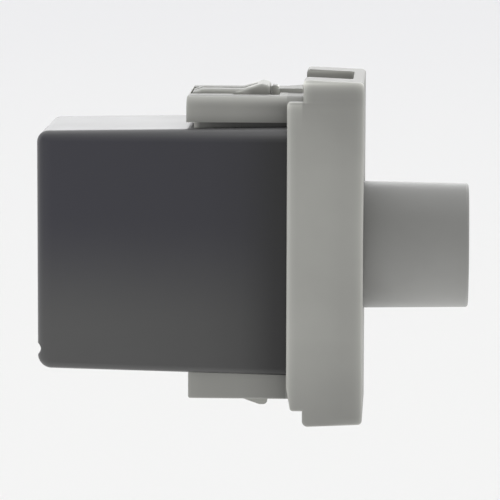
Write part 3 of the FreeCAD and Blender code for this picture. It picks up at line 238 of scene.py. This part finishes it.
def makeFloor(look):
    half = look["floorSize"] / 2 * mm
    z = -look["floorDrop"] * mm
    mesh = bpy.data.meshes.new("floor")
    corners = [(-half, -half, z), (half, -half, z), (half, half, z), (-half, half, z)]
    mesh.from_pydata(corners, [], [(0, 1, 2, 3)])
    finish = newFinish("paper floor")
    far = finish.rise(finish.axis(finish.place(), "Y"), look["floorNearY"], look["floorFarY"])
    tone = finish.mix(far, shade(look["floorNear"]), shade(look["floorFar"]))
    paper = finish.node("ShaderNodeBsdfDiffuse", None, {"Color": tone, "Roughness": 0.0})
    clear = finish.node("ShaderNodeBsdfTransparent")
    below = finish.node("ShaderNodeNewGeometry", output="Backfacing")
    mesh.materials.append(finish.end(finish.node("ShaderNodeMixShader", None, {0: below, 1: paper, 2: clear})))
    floor = bpy.data.objects.new("floor", mesh)
    scene.collection.objects.link(floor)


def makeSky(look):
    finish = Finish(bpy.data.worlds.new("studio sky"), "ShaderNodeOutputWorld")
    direction = finish.node("ShaderNodeTexCoord", output="Generated")
    back = finish.rise(finish.axis(direction, "Y"), -1.0, 1.0)
    strength = look["skyFront"] + (look["skyBack"] - look["skyFront"]) * back
    lighting = finish.node("ShaderNodeBackground", None, {"Color": shade((1, 1, 1)), "Strength": strength})
    backdrop = finish.node("ShaderNodeBackground", None, {"Color": shade(look["skyColour"]), "Strength": 1.0})
    seen = finish.node("ShaderNodeLightPath", output="Is Camera Ray")
    mirrored = finish.node("ShaderNodeLightPath", output="Is Glossy Ray")
    through = finish.node("ShaderNodeLightPath", output="Is Transmission Ray")
    plain = finish.larger(seen, finish.larger(mirrored, through))
    scene.world = finish.end(finish.node("ShaderNodeMixShader", None, {0: plain, 1: lighting, 2: backdrop}))


def makeSun(name, look):
    data = bpy.data.lights.new(name, "SUN")
    data.energy = look["strength"]
    data.angle = math.radians(look["spread"])
    lamp = bpy.data.objects.new(name, data)
    lamp.rotation_euler = (math.radians(look["tilt"]), 0, math.radians(look["turn"]))
    scene.collection.objects.link(lamp)


def makeUnderLamp(look):
    data = bpy.data.lights.new("under lamp", "AREA")
    data.energy = look["power"]
    data.size = look["size"] * mm
    lamp = bpy.data.objects.new("under lamp", data)
    lamp.location = (0, -look["forward"] * mm, -look["drop"] * mm)
    lamp.rotation_euler = (math.pi, 0, 0)
    lamp.visible_camera = False
    scene.collection.objects.link(lamp)


makeFloor(studio)
makeSky(studio)
for name, sun in studio["suns"].items():
    makeSun(name, sun)
makeUnderLamp(studio["underLamp"])
print("studio made")


# Moulded plastics of the outside

coverLook = {
    "colour": (0.343, 0.343, 0.321),
    # painted shade: shares of the colour along z, darker towards the top and bottom
    "heights": [(-25.0, 0.75), (-23.5, 0.77), (-21.5, 0.81), (-17.0, 0.89), (-12.0, 0.98), (0.0, 1.0),
                (12.0, 0.98), (17.0, 0.90), (20.7, 0.835), (21.5, 0.79), (22.2, 0.745), (23.0, 0.775),
                (24.0, 0.84), (25.0, 0.84)],
    "topFaceShade": 0.88,      # painted shade on the faces that look up
    "facingUp": (0.75, 0.97),
    # on the side faces, painted highlights along the edges, by the distance from the edge
    "sideFace": (11.5, 11.7),
    "rearEdge": [(0.0, 1.55), (0.35, 1.46), (0.6, 1.27), (0.9, 1.16), (1.4, 1.08), (4.0, 1.03), (6.5, 1.0),
                 (10.0, 0.97)],
    "frontEdge": [(0.0, 1.5), (0.2, 1.38), (0.4, 1.22), (0.7, 1.1), (1.0, 1.03), (1.5, 0.985), (3.0, 0.97),
                  (5.0, 1.0)],
    "topEdge": [(0.0, 1.6), (0.15, 2.0), (0.3, 2.2), (0.45, 2.25), (0.7, 1.65), (0.9, 1.36), (1.2, 1.16),
                (1.5, 1.06), (1.9, 1.0)],
    "bottomEdge": [(0.0, 1.45), (0.3, 1.28), (0.6, 1.18), (0.9, 1.1), (1.4, 1.0)],
    "bottomEdgeFrom": (3.5, 6.5),      # along x, so only at the front
    "ledgeEdge": [(0.0, 1.3), (0.25, 1.5), (0.6, 1.32), (0.9, 1.18), (1.4, 1.1), (2.4, 1.04), (4.0, 1.0)],
    "stepHeight": 21.7,
    "stepDepth": 2.3,
    "stepFront": (-0.3, 0.0),
    # painted shade on the arms' side faces along x and z, darker towards the cover, and along x on the part of
    # them that blockTop and z 0 bound, a deep painted shadow under the top arm with a painted highlight at its
    # rear corner
    "armDepths": [(-17.0, 1.15), (-16.6, 1.0), (-16.0, 0.86), (-14.5, 0.8), (-9.5, 0.75), (-6.6, 0.67),
                  (-3.7, 0.56), (-2.3, 0.49)],
    "armHeights": [(-25.0, 1.0), (17.9, 1.0), (18.6, 0.7), (19.8, 1.0), (25.0, 1.0)],
    "armFace": (8.7, 9.3),
    "armTop": (20.8, 22.4),
    "armEnd": (-2.5, -2.35),
    "blockDepths": [(-16.0, 2.0), (-15.6, 1.9), (-15.2, 1.1), (-14.8, 0.55), (-13.0, 0.3), (-10.0, 0.14),
                    (-2.3, 0.05)],
    "blockTop": (18.65, 18.75),
    # painted highlight on the upper edge of the top arm, along z, and painted shade on its top, along x
    "glow": [(19.8, 1.0), (20.8, 1.07), (21.4, 1.11), (21.75, 1.19), (22.0, 1.22), (22.3, 1.22), (25.0, 1.22)],
    "glowTop": [(-16.8, 0.42), (-5.0, 0.44), (-3.5, 0.62), (-0.3, 0.7)],
    "glowFacing": (0.95, 0.995),
    "glowFrom": (19.8, 20.0),
    "glowSide": (10.4, 10.6),
    "glowEnd": (-0.4, -0.2),
    # painted light on the notch's inner side walls, along z
    "notchWallLight": [(22.0, 1.0), (22.6, 1.4), (23.9, 1.4), (24.2, 1.55), (24.4, 1.85), (24.6, 2.3), (24.8, 2.5),
                  (24.9, 1.6), (24.95, 1.0)],
    "notchAcross": {"low": 6.2, "high": 7.4, "soft": 0.2},
    "notchAlong": {"low": -0.2, "high": 7.1, "soft": 0.3},
    "drift": 0.035,
    "driftSize": 11.0,
    "roughness": 0.48,
    "roughnessDrift": 0.06,
    "grainSize": 0.16,
    "grainDepth": 0.004,
}
latchLook = {
    "colour": (0.345, 0.345, 0.324),
    # painted light and shade: shares of the colour, along z on the wedges and on the ribs, along x on the tab
    "wedge": [(20.9, 1.0), (22.3, 1.0), (22.8, 1.3), (23.3, 1.6), (23.8, 1.15)],
    "ribs": [(20.9, 1.3), (22.0, 1.4), (22.3, 1.6), (22.5, 1.7), (22.8, 1.6), (23.8, 1.6)],
    "ribEnds": (-8.8, -7.4),
    "tabStart": (-5.0, -4.8),
    "tab": [(-5.0, 1.2), (-4.8, 1.3), (-4.5, 1.6), (-4.2, 2.0), (-3.9, 2.3), (-3.75, 2.3), (-3.65, 1.45),
            (-0.3, 1.45)],
    "topFaceShade": 0.5,      # painted shade on the faces of the ribs and the tab that look up
    "facingUp": (0.8, 0.94),
    "drift": 0.035,
    "driftSize": 11.0,
    "roughness": 0.52,
    "roughnessDrift": 0.06,
    "grainSize": 0.16,
    "grainDepth": 0.004,
}
knobLook = {
    "colour": (0.258, 0.258, 0.248),
    "depths": [(5.6, 0.84), (8.6, 0.84), (10.5, 0.90), (13.0, 0.96), (17.0, 1.0), (23.8, 1.0)],      # painted shade near the cover's front face, along x
    "drift": 0.03,
    "driftSize": 8.0,
    "roughness": 0.40,
    "roughnessDrift": 0.05,
    "grainSize": 0.14,
    "grainDepth": 0.003,
}
casingLook = {
    "upper": (0.021, 0.021, 0.030),
    "lower": (0.066, 0.066, 0.066),
    "grade": (-12.0, 6.0),      # painted light from below: along z, from the paler lower colour to the darker upper colour
    "heights": [(-18.0, 1.45), (-16.8, 1.0), (18.2, 1.0)],      # painted highlight on the bottom edge: shares of the colour, along z
    "inner": (0.045, 0.045, 0.048),      # away from the side faces
    "sideFace": (10.1, 10.8),
    "rimHighlightColour": (0.14, 0.14, 0.142),      # painted highlight on the edges of the side faces
    "rimHighlightHeights": [(15.9, 0.0), (16.4, 0.14), (16.8, 0.42), (17.1, 0.74), (17.6, 1.0), (18.2, 1.0)],
    "rimHighlightDepths": [(-38.15, 0.75), (-37.9, 0.45), (-37.6, 0.22), (-37.1, 0.08), (-36.0, 0.0)],
    # painted shade towards the cover, with a slightly paler rear: shares of the colour, along x
    "depths": [(-38.15, 1.1), (-36.0, 1.1), (-28.0, 1.04), (-14.0, 0.86), (-9.0, 0.66), (-6.6, 0.42),
               (-4.0, 0.12), (-2.3, 0.05)],
    "drift": 0.06,
    "driftSize": 9.0,
    "roughness": 0.38,
    "roughnessDrift": 0.08,
    "grainSize": 0.2,
    "grainDepth": 0.005,
}


def grainOf(finish, place, look):
    coarse = finish.noise(place, look["grainSize"], 3)
    fine = finish.noise(place, look["grainSize"] / 3, 1)
    return finish.bump(coarse + 0.4 * fine, look["grainDepth"])


def clouded(finish, drift, look):
    return finish.mix(finish.rise(drift, 0.3, 0.7), shade(look["colour"], 1 - look["drift"]),
                      shade(look["colour"], 1 + look["drift"]))


def plastic(finish, place, drift, tone, look):
    return finish.close({
        "Base Color": tone,
        "Roughness": look["roughness"] + look["roughnessDrift"] * (drift - 0.5),
        "Normal": grainOf(finish, place, look),
    })


def mouldedPlastic(name, look):
    finish = newFinish(name)
    place = finish.place()
    drift = finish.noise(place, look["driftSize"], 3)
    tone = clouded(finish, drift, look)
    # painted shade and highlight, where the look gives shares along z or x
    for key, letter in (("heights", "Z"), ("depths", "X")):
        if key in look:
            tone = finish.scaled(tone, finish.graded(finish.axis(place, letter), look[key]))
    return plastic(finish, place, drift, tone, look)


def facingOf(finish):
    # 1 on faces that look up, 0 on upright ones
    return finish.axis(finish.node("ShaderNodeTexCoord", output="Normal"), "Z")


def paintedEdgeHighlight(finish, x, z, side, look):
    # painted highlights on the side faces near the cover's rear, front, step, top and bottom edges
    high = [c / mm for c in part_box("front_cover")[1]]
    step = look["stepHeight"]
    below = finish.fall(z, step - 0.02, step + 0.02)
    rear = finish.graded(x + look["stepDepth"] * below, look["rearEdge"])
    front = finish.graded(high[0] - x, look["frontEdge"])
    top = finish.graded(high[2] - z, look["topEdge"])
    ledge = (finish.graded(step - z, look["ledgeEdge"]) - 1) * finish.fall(x, *look["stepFront"])
    bottom = (finish.graded(z + high[2], look["bottomEdge"]) - 1) * finish.rise(x, *look["bottomEdgeFrom"])
    sideHighlight = rear * front * top * (1 + ledge) * (1 + bottom)
    return 1 + (sideHighlight - 1) * finish.rise(side, *look["sideFace"])


def coverPlastic(look):
    # The light front body, with painted shade towards its ends and more on the arms, painted highlights along
    # its edges and painted light on the notch walls.
    finish = newFinish("cover plastic")
    place = finish.place()
    x, y, z = (finish.axis(place, letter) for letter in "XYZ")
    side = abs(y)
    drift = finish.noise(place, look["driftSize"], 3)
    facing = facingOf(finish)
    upward = finish.rise(facing, *look["facingUp"])
    # painted shade along z, times painted highlights near the side faces' edges
    body = finish.graded(z, look["heights"]) * paintedEdgeHighlight(finish, x, z, side, look)
    # painted light on the notch's inner side walls
    wall = finish.within(side, **look["notchAcross"]) * finish.within(x, **look["notchAlong"]) * (1 - upward)
    body = body * (1 + (finish.graded(z, look["notchWallLight"]) - 1) * wall)
    # painted shade on the faces that look up
    body = body * (1 + (look["topFaceShade"] - 1) * upward)
    # painted shade on the arms, and a deep painted shadow on the block under the top arm
    block = finish.rise(z, 0, 1) * finish.fall(z, *look["blockTop"])
    arm = (1 - block) * finish.graded(x, look["armDepths"]) + block * finish.graded(x, look["blockDepths"])
    arm = arm * finish.graded(z, look["armHeights"])
    behind = finish.fall(x, *look["armEnd"])
    onArm = finish.rise(side, *look["armFace"]) * finish.fall(z, *look["armTop"]) * behind
    share = onArm * arm + (1 - onArm) * ((1 - behind) * body + behind)
    # painted highlight along the top arm's upper edge, painted shade on its top
    flat = finish.rise(facing, *look["glowFacing"])
    glow = finish.graded(z, look["glow"]) * (1 + (finish.graded(x, look["glowTop"]) - 1) * flat)
    edge = finish.fall(x, *look["glowEnd"]) * finish.fall(side, *look["glowSide"])
    share = share * (1 + edge * finish.rise(z, *look["glowFrom"]) * (glow - 1))
    return plastic(finish, place, drift, finish.scaled(clouded(finish, drift, look), share), look)


def latchPlastic(look):
    finish = newFinish("latch plastic")
    place = finish.place()
    x, z = (finish.axis(place, letter) for letter in "XZ")
    drift = finish.noise(place, look["driftSize"], 3)
    # painted light and shade on the wedges, ribs and tab, and painted shade on their faces that look up
    top = 1 + (look["topFaceShade"] - 1) * finish.rise(facingOf(finish), *look["facingUp"])
    ribs = finish.graded(z, look["ribs"]) * top
    tab = finish.graded(x, look["tab"]) * top
    share = finish.graded(z, look["wedge"])
    share = share + finish.fall(x, *look["ribEnds"]) * (ribs - share)
    share = share + finish.rise(x, *look["tabStart"]) * (tab - share)
    return plastic(finish, place, drift, finish.scaled(clouded(finish, drift, look), share), look)


def casingPlastic(look):
    finish = newFinish("casing plastic")
    place = finish.place()
    x, y, z = (finish.axis(place, letter) for letter in "XYZ")
    drift = finish.noise(place, look["driftSize"], 3)
    # painted light from below on the side faces, and painted shade towards the cover
    tone = finish.mix(finish.rise(z, *look["grade"]), shade(look["lower"]), shade(look["upper"]))
    share = finish.graded(z, look["heights"]) * finish.graded(x, look["depths"])
    outer = finish.rise(abs(y), *look["sideFace"])
    tone = finish.mix(outer, shade(look["inner"]), finish.scaled(tone, share))
    # painted highlight on the rounded top and rear edges
    rim = finish.larger(finish.graded(z, look["rimHighlightHeights"]), outer * finish.graded(x, look["rimHighlightDepths"]))
    tone = finish.scaled(finish.mix(rim, tone, shade(look["rimHighlightColour"])), 1 + look["drift"] * (drift - 0.5))
    return plastic(finish, place, drift, tone, look)


dress(coverPlastic(coverLook), "front_cover")
dress(latchPlastic(latchLook), "release_latch")
dress(mouldedPlastic("knob plastic", knobLook), "knob")
dress(casingPlastic(casingLook), "rear_casing")
print("outside dressed")


# Moulded plastics and dipped coats of the inside

blackLook = {"colour": (0.022, 0.022, 0.024), "drift": 0.15, "driftSize": 3.0, "roughness": 0.42,
             "roughnessDrift": 0.1, "grainSize": 0.12, "grainDepth": 0.005}
acetalLook = {"colour": (0.78, 0.77, 0.73), "drift": 0.02, "driftSize": 4.0, "roughness": 0.36,
              "roughnessDrift": 0.05, "grainSize": 0.15, "grainDepth": 0.003}
terminalLook = {"colour": (0.075, 0.08, 0.088), "drift": 0.05, "driftSize": 6.0, "roughness": 0.45,
                "roughnessDrift": 0.06, "grainSize": 0.18, "grainDepth": 0.005}
fuseLook = {"colour": (0.24, 0.035, 0.022), "drift": 0.06, "driftSize": 3.0, "roughness": 0.25,
            "roughnessDrift": 0.05, "grainSize": 0.3, "grainDepth": 0.003}
coatLook = {"colour": (0.022, 0.062, 0.2), "drift": 0.1, "driftSize": 2.2, "roughness": 0.22,
            "roughnessDrift": 0.06, "grainSize": 1.4, "grainDepth": 0.05}
ceramicLook = {"colour": (0.20, 0.135, 0.075), "drift": 0.12, "driftSize": 0.6, "roughness": 0.3,
               "roughnessDrift": 0.08, "grainSize": 0.08, "grainDepth": 0.003}

dress(mouldedPlastic("black moulding", blackLook), "control_base", "link_spacer", "controller_chip", "mosfet_1",
      "mosfet_2")
dress(mouldedPlastic("white acetal", acetalLook), "wiper_rotor", "switch_plunger")
dress(mouldedPlastic("terminal plastic", terminalLook), "terminal_housing")
dress(mouldedPlastic("fuse case", fuseLook), "fuse")
dress(mouldedPlastic("varistor coat", coatLook), "varistor")
dress(mouldedPlastic("chip ceramic", ceramicLook), "chip_parts")


filmLook = {
    "colour": (0.56, 0.35, 0.025),
    "resin": (0.30, 0.17, 0.03),      # the potting that shows on the side of the leads
    "resinDepth": 0.35,
    "resinSoft": 0.1,
    "resinRough": 0.25,
    "drift": 0.04,
    "driftSize": 5.0,
    "roughness": 0.2,
    "grainSize": 0.4,
    "grainDepth": 0.003,
}


def filmBox(node, look):
    # one capacitor stands behind the power board and one before it
    finish = newFinish(node + " box")
    place = finish.place()
    drift = finish.noise(place, look["driftSize"], 2)
    x = finish.axis(place, "X")
    rear, front = (corner[0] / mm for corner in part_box("power_board"))
    if node == "film_capacitor":
        resin = finish.rise(x, rear - look["resinDepth"], rear - look["resinDepth"] + look["resinSoft"])
    else:
        resin = finish.fall(x, front + look["resinDepth"], front + look["resinDepth"] + look["resinSoft"])
    return finish.close({
        "Base Color": finish.mix(resin, clouded(finish, drift, look), shade(look["resin"])),
        "Roughness": look["roughness"] + look["resinRough"] * resin,
        "Normal": grainOf(finish, place, look),
    })


for node in ("film_capacitor", "snubber_capacitor"):
    dress(filmBox(node, filmLook), node)


# Turned parts lie along x, so their bands and rings are worked out from the middle of their box.

def middleOf(name):
    low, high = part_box(name)
    return [(low[i] + high[i]) / 2 / mm for i in range(3)]


def radiusFrom(finish, place, y, z):
    across = finish.axis(place, "Y") - y
    above = finish.axis(place, "Z") - z
    return (across * across + above * above) ** 0.5


canLook = {
    "sleeve": (0.012, 0.016, 0.028),
    "stripe": (0.45, 0.46, 0.48),
    "stripeHalf": 1.1,
    "aluminium": (0.72, 0.72, 0.73),
    "openRadius": 3.0,      # the bare end inside the sleeve's rolled rim
    "capDepth": 0.5,
    "endSoft": 0.1,
    "stripeSoft": 0.08,
    "roughness": 0.28,
    "wrinkleRough": 0.08,
    "wrinkleSize": 2.0,
    "wrinkleStretch": (1, 0.4, 0.4),
    "wrinkleDepth": 0.02,
}
chokeLook = {
    "sleeve": (0.016, 0.016, 0.018),
    "ferrite": (0.055, 0.052, 0.05),
    "ferriteDepth": 0.4,
    "ferriteSoft": 0.1,
    "ferriteRough": 0.35,
    "roughness": 0.3,
    "wrinkleSize": 1.6,
    "wrinkleStretch": (1.5, 0.5, 0.5),
    "wrinkleDepth": 0.03,
}
trackLook = {
    "laminate": (0.13, 0.055, 0.02),
    "carbon": (0.008, 0.008, 0.009),
    "silver": (0.62, 0.60, 0.56),
    "carbonRing": {"low": 2.7, "high": 4.35, "soft": 0.05},
    "silverRing": {"low": 1.0, "high": 2.15, "soft": 0.05},
    "fibreSize": 0.5,
    "fibreStretch": (1, 1, 0.2),
    "fibreContrast": 0.15,
    "roughness": 0.5,
    "carbonGloss": 0.1,
    "silverGloss": 0.15,
    "inkHeight": 0.8,
    "depth": 0.01,
}


def canSleeve(look):
    finish = newFinish("can sleeve")
    place = finish.place()
    middle = middleOf("electrolytic_capacitor")
    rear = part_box("electrolytic_capacitor")[0][0] / mm
    radius = radiusFrom(finish, place, middle[1], middle[2])
    x, y, z = (finish.axis(place, letter) for letter in "XYZ")
    bareEnd = finish.fall(radius, look["openRadius"], look["openRadius"] + look["endSoft"])
    bareEnd = bareEnd * finish.fall(x, rear + look["capDepth"], rear + look["capDepth"] + look["endSoft"])
    stripe = finish.fall(abs(z - middle[2]), look["stripeHalf"], look["stripeHalf"] + look["stripeSoft"])
    stripe = stripe * finish.fall(y, middle[1] - 1, middle[1])
    sleeve = finish.mix(stripe, shade(look["sleeve"]), shade(look["stripe"]))
    tone = finish.mix(bareEnd, sleeve, shade(look["aluminium"]))
    wrinkle = finish.noise(place, look["wrinkleSize"], 2, look["wrinkleStretch"])
    return finish.close({
        "Base Color": tone,
        "Metallic": bareEnd,
        "Roughness": look["roughness"] + look["wrinkleRough"] * wrinkle,
        "Normal": finish.bump(wrinkle, look["wrinkleDepth"]),
    })


def chokeSleeve(look):
    finish = newFinish("choke sleeve")
    place = finish.place()
    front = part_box("drum_choke")[1][0] / mm
    start = front - look["ferriteDepth"]
    ferrite = finish.rise(finish.axis(place, "X"), start - look["ferriteSoft"], start)
    wrinkle = finish.noise(place, look["wrinkleSize"], 3, look["wrinkleStretch"])
    return finish.close({
        "Base Color": finish.mix(ferrite, shade(look["sleeve"]), shade(look["ferrite"])),
        "Roughness": look["roughness"] + look["ferriteRough"] * ferrite,
        "Normal": finish.bump(wrinkle, look["wrinkleDepth"]),
    })


def trackPlate(look):
    finish = newFinish("track plate")
    place = finish.place()
    radius = radiusFrom(finish, place, 0, 0)
    carbon = finish.within(radius, **look["carbonRing"])
    silver = finish.within(radius, **look["silverRing"])
    fibre = finish.noise(place, look["fibreSize"], 3, look["fibreStretch"])
    base = finish.mix(fibre, shade(look["laminate"], 1 - look["fibreContrast"]),
                      shade(look["laminate"], 1 + look["fibreContrast"]))
    tone = finish.mix(silver, finish.mix(carbon, base, shade(look["carbon"])), shade(look["silver"]))
    return finish.close({
        "Base Color": tone,
        "Metallic": silver,
        "Roughness": look["roughness"] - look["carbonGloss"] * carbon - look["silverGloss"] * silver,
        "Normal": finish.bump(fibre + look["inkHeight"] * carbon + look["inkHeight"] * silver, look["depth"]),
    })


dress(canSleeve(canLook), "electrolytic_capacitor")
dress(chokeSleeve(chokeLook), "drum_choke")
dress(trackPlate(trackLook), "control_track")
print("plastics and coats dressed")


# Metals

springLook = {"colour": (0.62, 0.62, 0.63), "worn": (0.54, 0.54, 0.55), "roughness": 0.24, "streak": 0.18,
              "grainSize": 0.12, "stretch": (0.08, 1, 1), "depth": 0.002, "cloudSize": 4.0}
spindleLook = {"colour": (0.78, 0.78, 0.79), "worn": (0.70, 0.70, 0.71), "roughness": 0.22, "streak": 0.2,
               "grainSize": 0.1, "stretch": (1, 0.02, 0.02), "depth": 0.003, "cloudSize": 5.0}
nickelLook = {"colour": (0.72, 0.68, 0.58), "worn": (0.66, 0.60, 0.46), "roughness": 0.2, "streak": 0.12,
              "grainSize": 0.14, "stretch": (1, 0.05, 0.05), "depth": 0.003, "cloudSize": 3.0}
zincLook = {"colour": (0.62, 0.63, 0.65), "worn": (0.52, 0.53, 0.54), "roughness": 0.3, "streak": 0.16,
            "grainSize": 0.25, "stretch": (1, 1, 1), "depth": 0.003, "cloudSize": 1.8}
tinLook = {"colour": (0.72, 0.71, 0.68), "worn": (0.60, 0.59, 0.56), "roughness": 0.3, "streak": 0.14,
           "grainSize": 0.2, "stretch": (1, 1, 1), "depth": 0.002, "cloudSize": 1.2}
brassLook = {"colour": (0.74, 0.58, 0.30), "worn": (0.62, 0.46, 0.22), "roughness": 0.28, "streak": 0.14,
             "grainSize": 0.2, "stretch": (0.3, 1, 1), "depth": 0.003, "cloudSize": 2.4}
sinkLook = {"colour": (0.78, 0.78, 0.79), "worn": (0.70, 0.70, 0.71), "roughness": 0.34, "streak": 0.2,
            "grainSize": 0.12, "stretch": (1, 1, 0.04), "depth": 0.004, "cloudSize": 7.0}
solderLook = {"colour": (0.68, 0.68, 0.69), "worn": (0.58, 0.58, 0.59), "roughness": 0.2, "streak": 0.12,
              "grainSize": 0.3, "stretch": (1, 1, 1), "depth": 0.004, "cloudSize": 0.8}


def workedMetal(name, look):
    finish = newFinish(name)
    place = finish.place()
    streak = finish.noise(place, look["grainSize"], 3, look["stretch"])
    cloud = finish.rise(finish.noise(place, look["cloudSize"], 3), 0.35, 0.7)
    return finish.close({
        "Base Color": finish.mix(cloud, shade(look["colour"]), shade(look["worn"])),
        "Metallic": 1.0,
        "Roughness": look["roughness"] + look["streak"] * (streak - 0.5) + 0.08 * cloud,
        "Normal": finish.bump(streak, look["depth"]),
    })


dress(workedMetal("spring strip", springLook), "knob_clip", "snap_dome", "clamp_bar")
dress(workedMetal("turned aluminium", spindleLook), "control_spindle")
dress(workedMetal("nickelled brass", nickelLook), "control_bushing", "bushing_nut")
dress(workedMetal("zinc plate", zincLook), "lock_washer", "control_frame", "clamp_screw", "terminal_screw_1",
      "terminal_screw_2", "terminal_screw_3")
dress(workedMetal("tinned copper", tinLook), "wiper_contact", "control_pins", "link_pins")
dress(workedMetal("terminal brass", brassLook), "terminal_bars", "terminal_cage_1", "terminal_cage_2",
      "terminal_cage_3")
dress(workedMetal("sink sheet", sinkLook), "heat_sink")
print("metals dressed")


# The silicone pad, on a glass cloth that shows faintly through it
padLook = {
    "colour": (0.34, 0.36, 0.34),
    "thread": 0.5,
    "shares": (0.93, 1.05),      # of the colour, between the threads and on them
    "roughness": 0.6,
    "threadRough": 0.1,
    "depth": 0.02,
}
boardLook = {
    "mask": (0.006, 0.055, 0.02),
    "maskOnCopper": (0.012, 0.115, 0.038),
    "laminate": (0.30, 0.33, 0.14),
    "cell": 2.6,      # size of the copper areas
    "cellStretch": 0.6,
    "cellRandom": 0.75,
    "copperShare": 0.55,
    "copperSoft": 0.02,
    "copperDepth": 0.035,
    "edge": 0.05,      # how far the bare laminate reaches in from the cut edges
    "edgeSoft": 0.01,
    "edgeRough": 0.4,
    "roughness": 0.26,
}


def padSheet(look):
    finish = newFinish("silicone pad")
    place = finish.place()
    turns = 2 * math.pi / look["thread"]
    warp = finish.node("ShaderNodeMath", {"operation": "SINE"}, {0: finish.axis(place, "X") * turns})
    weft = finish.node("ShaderNodeMath", {"operation": "SINE"}, {0: finish.axis(place, "Z") * turns})
    weave = 0.5 + 0.5 * (warp * weft)
    return finish.close({
        "Base Color": finish.mix(weave, *(shade(look["colour"], share) for share in look["shares"])),
        "Roughness": look["roughness"] + look["threadRough"] * weave,
        "Normal": finish.bump(weave, look["depth"]),
    })


def boardMask(node, look):
    finish = newFinish(node + " mask")
    place = finish.place()
    low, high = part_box(node)
    scale = (0, 1 / look["cell"], look["cellStretch"] / look["cell"])
    sized = finish.node("ShaderNodeMapping", None, {"Vector": place, "Scale": scale})
    cells = finish.node("ShaderNodeTexVoronoi", {"distance": "CHEBYCHEV"},
                        {"Vector": sized, "Scale": 1.0, "Randomness": look["cellRandom"]}, "Color")
    copper = finish.rise(finish.axis(cells, "X"), look["copperShare"] - look["copperSoft"],
                         look["copperShare"] + look["copperSoft"])
    side = abs(finish.axis(place, "Y") - (low[1] + high[1]) / 2 / mm)
    above = abs(finish.axis(place, "Z") - (low[2] + high[2]) / 2 / mm)
    halfWide, halfHigh = ((high[i] - low[i]) / 2 / mm - look["edge"] for i in (1, 2))
    cut = finish.larger(finish.rise(side, halfWide - look["edgeSoft"], halfWide),
                        finish.rise(above, halfHigh - look["edgeSoft"], halfHigh))
    mask = finish.mix(copper, shade(look["mask"]), shade(look["maskOnCopper"]))
    return finish.close({
        "Base Color": finish.mix(cut, mask, shade(look["laminate"])),
        "Roughness": look["roughness"] + look["edgeRough"] * cut,
        "Normal": finish.bump(copper, look["copperDepth"]),
    })


dress(padSheet(padLook), "insulating_pad")
for node in ("control_board", "power_board"):
    dress(boardMask(node, boardLook), node)
print("boards dressed")


# Solder joints, which only the visual model has
jointLook = {
    "profile": [(0.80, 0.0), (0.62, 0.08), (0.46, 0.2), (0.36, 0.34), (0.26, 0.44), (0.12, 0.5)],
    "segments": 20,      # round each ring of the profile, whose pairs are radius and height
    "leadReach": 0.05,
    "leadApart": 1.0,
}


def newPiece(name, verts, faces, material, body):
    mesh = bpy.data.meshes.new(name)
    mesh.from_pydata([[c * mm for c in vert] for vert in verts], [], faces)
    mesh.materials.append(material)
    for polygon in mesh.polygons:
        polygon.use_smooth = True
    piece = bpy.data.objects.new(name, mesh)
    scene.collection.objects.link(piece)
    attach(piece, body)
    return piece


def grouped(points, reach):
    # points that lie within reach of each other in y and z, as groups
    groups = []
    for point in points:
        home = [group for group in groups if any(math.dist(point[1:], other[1:]) < reach for other in group)]
        merged = [point]
        for group in home:
            merged += group
            groups.remove(group)
        groups.append(merged)
    return groups


def leadEnds(name, side, look):
    # the middles, in y and z, of the lead ends on the front (1) or rear (-1) of a part
    points = [[c / mm for c in vertex.co] for vertex in nodes[name].data.vertices]
    end = max(side * point[0] for point in points)
    ends = grouped([point for point in points if end - side * point[0] < look["leadReach"]], look["leadApart"])
    return [tuple((min(p[i] for p in group) + max(p[i] for p in group)) / 2 for i in (1, 2)) for group in ends]


def solderJoint(verts, faces, x, y, z, side, look):
    start = len(verts)
    count = look["segments"]
    for radius, height in look["profile"]:
        for i in range(count):
            angle = 2 * math.pi * i / count
            verts.append((x + side * height, y + radius * math.cos(angle), z + side * radius * math.sin(angle)))
    for ring in range(len(look["profile"]) - 1):
        for i in range(count):
            a, b = start + ring * count + i, start + ring * count + (i + 1) % count
            faces.append((a, b, b + count, a + count))
    last = start + (len(look["profile"]) - 1) * count
    faces.append(tuple(last + i for i in range(count)))
    faces.append(tuple(start + count - 1 - i for i in range(count)))


def clearOf(x, y, z, side, board, look):
    # whether nothing stands where a joint would be
    wide, tall = look["profile"][0][0], look["profile"][-1][1]
    low = (min(x, x + side * tall), y - wide, z - wide)
    high = (max(x, x + side * tall), y + wide, z + wide)
    for name in nodes:
        if name in (board, "front_cover", "rear_casing"):
            continue
        bottom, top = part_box(name)
        if all(bottom[i] / mm < high[i] and top[i] / mm > low[i] for i in range(3)):
            return False
    return True


def solderBoard(board, sides, look):
    # sides: for the board's front (1) and rear (-1) face, the parts whose leads end there
    low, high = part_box(board)
    verts, faces, count = [], [], 0
    for side, parts in sides.items():
        x = (high if side > 0 else low)[0] / mm
        for part in parts:
            for y, z in leadEnds(part, side, look):
                if clearOf(x, y, z, side, board, look):
                    solderJoint(verts, faces, x, y, z, side, look)
                    count += 1
    if count:
        solder = workedMetal(board + " solder", solderLook)
        newPiece("solder_" + board, verts, faces, solder, "housing")
    print(board, "solder joints:", count)


solderBoard("power_board", {
    1: ("film_capacitor", "electrolytic_capacitor", "varistor", "fuse", "terminal_bars"),
    -1: ("drum_choke", "snubber_capacitor", "mosfet_1", "mosfet_2", "link_pins"),
}, jointLook)
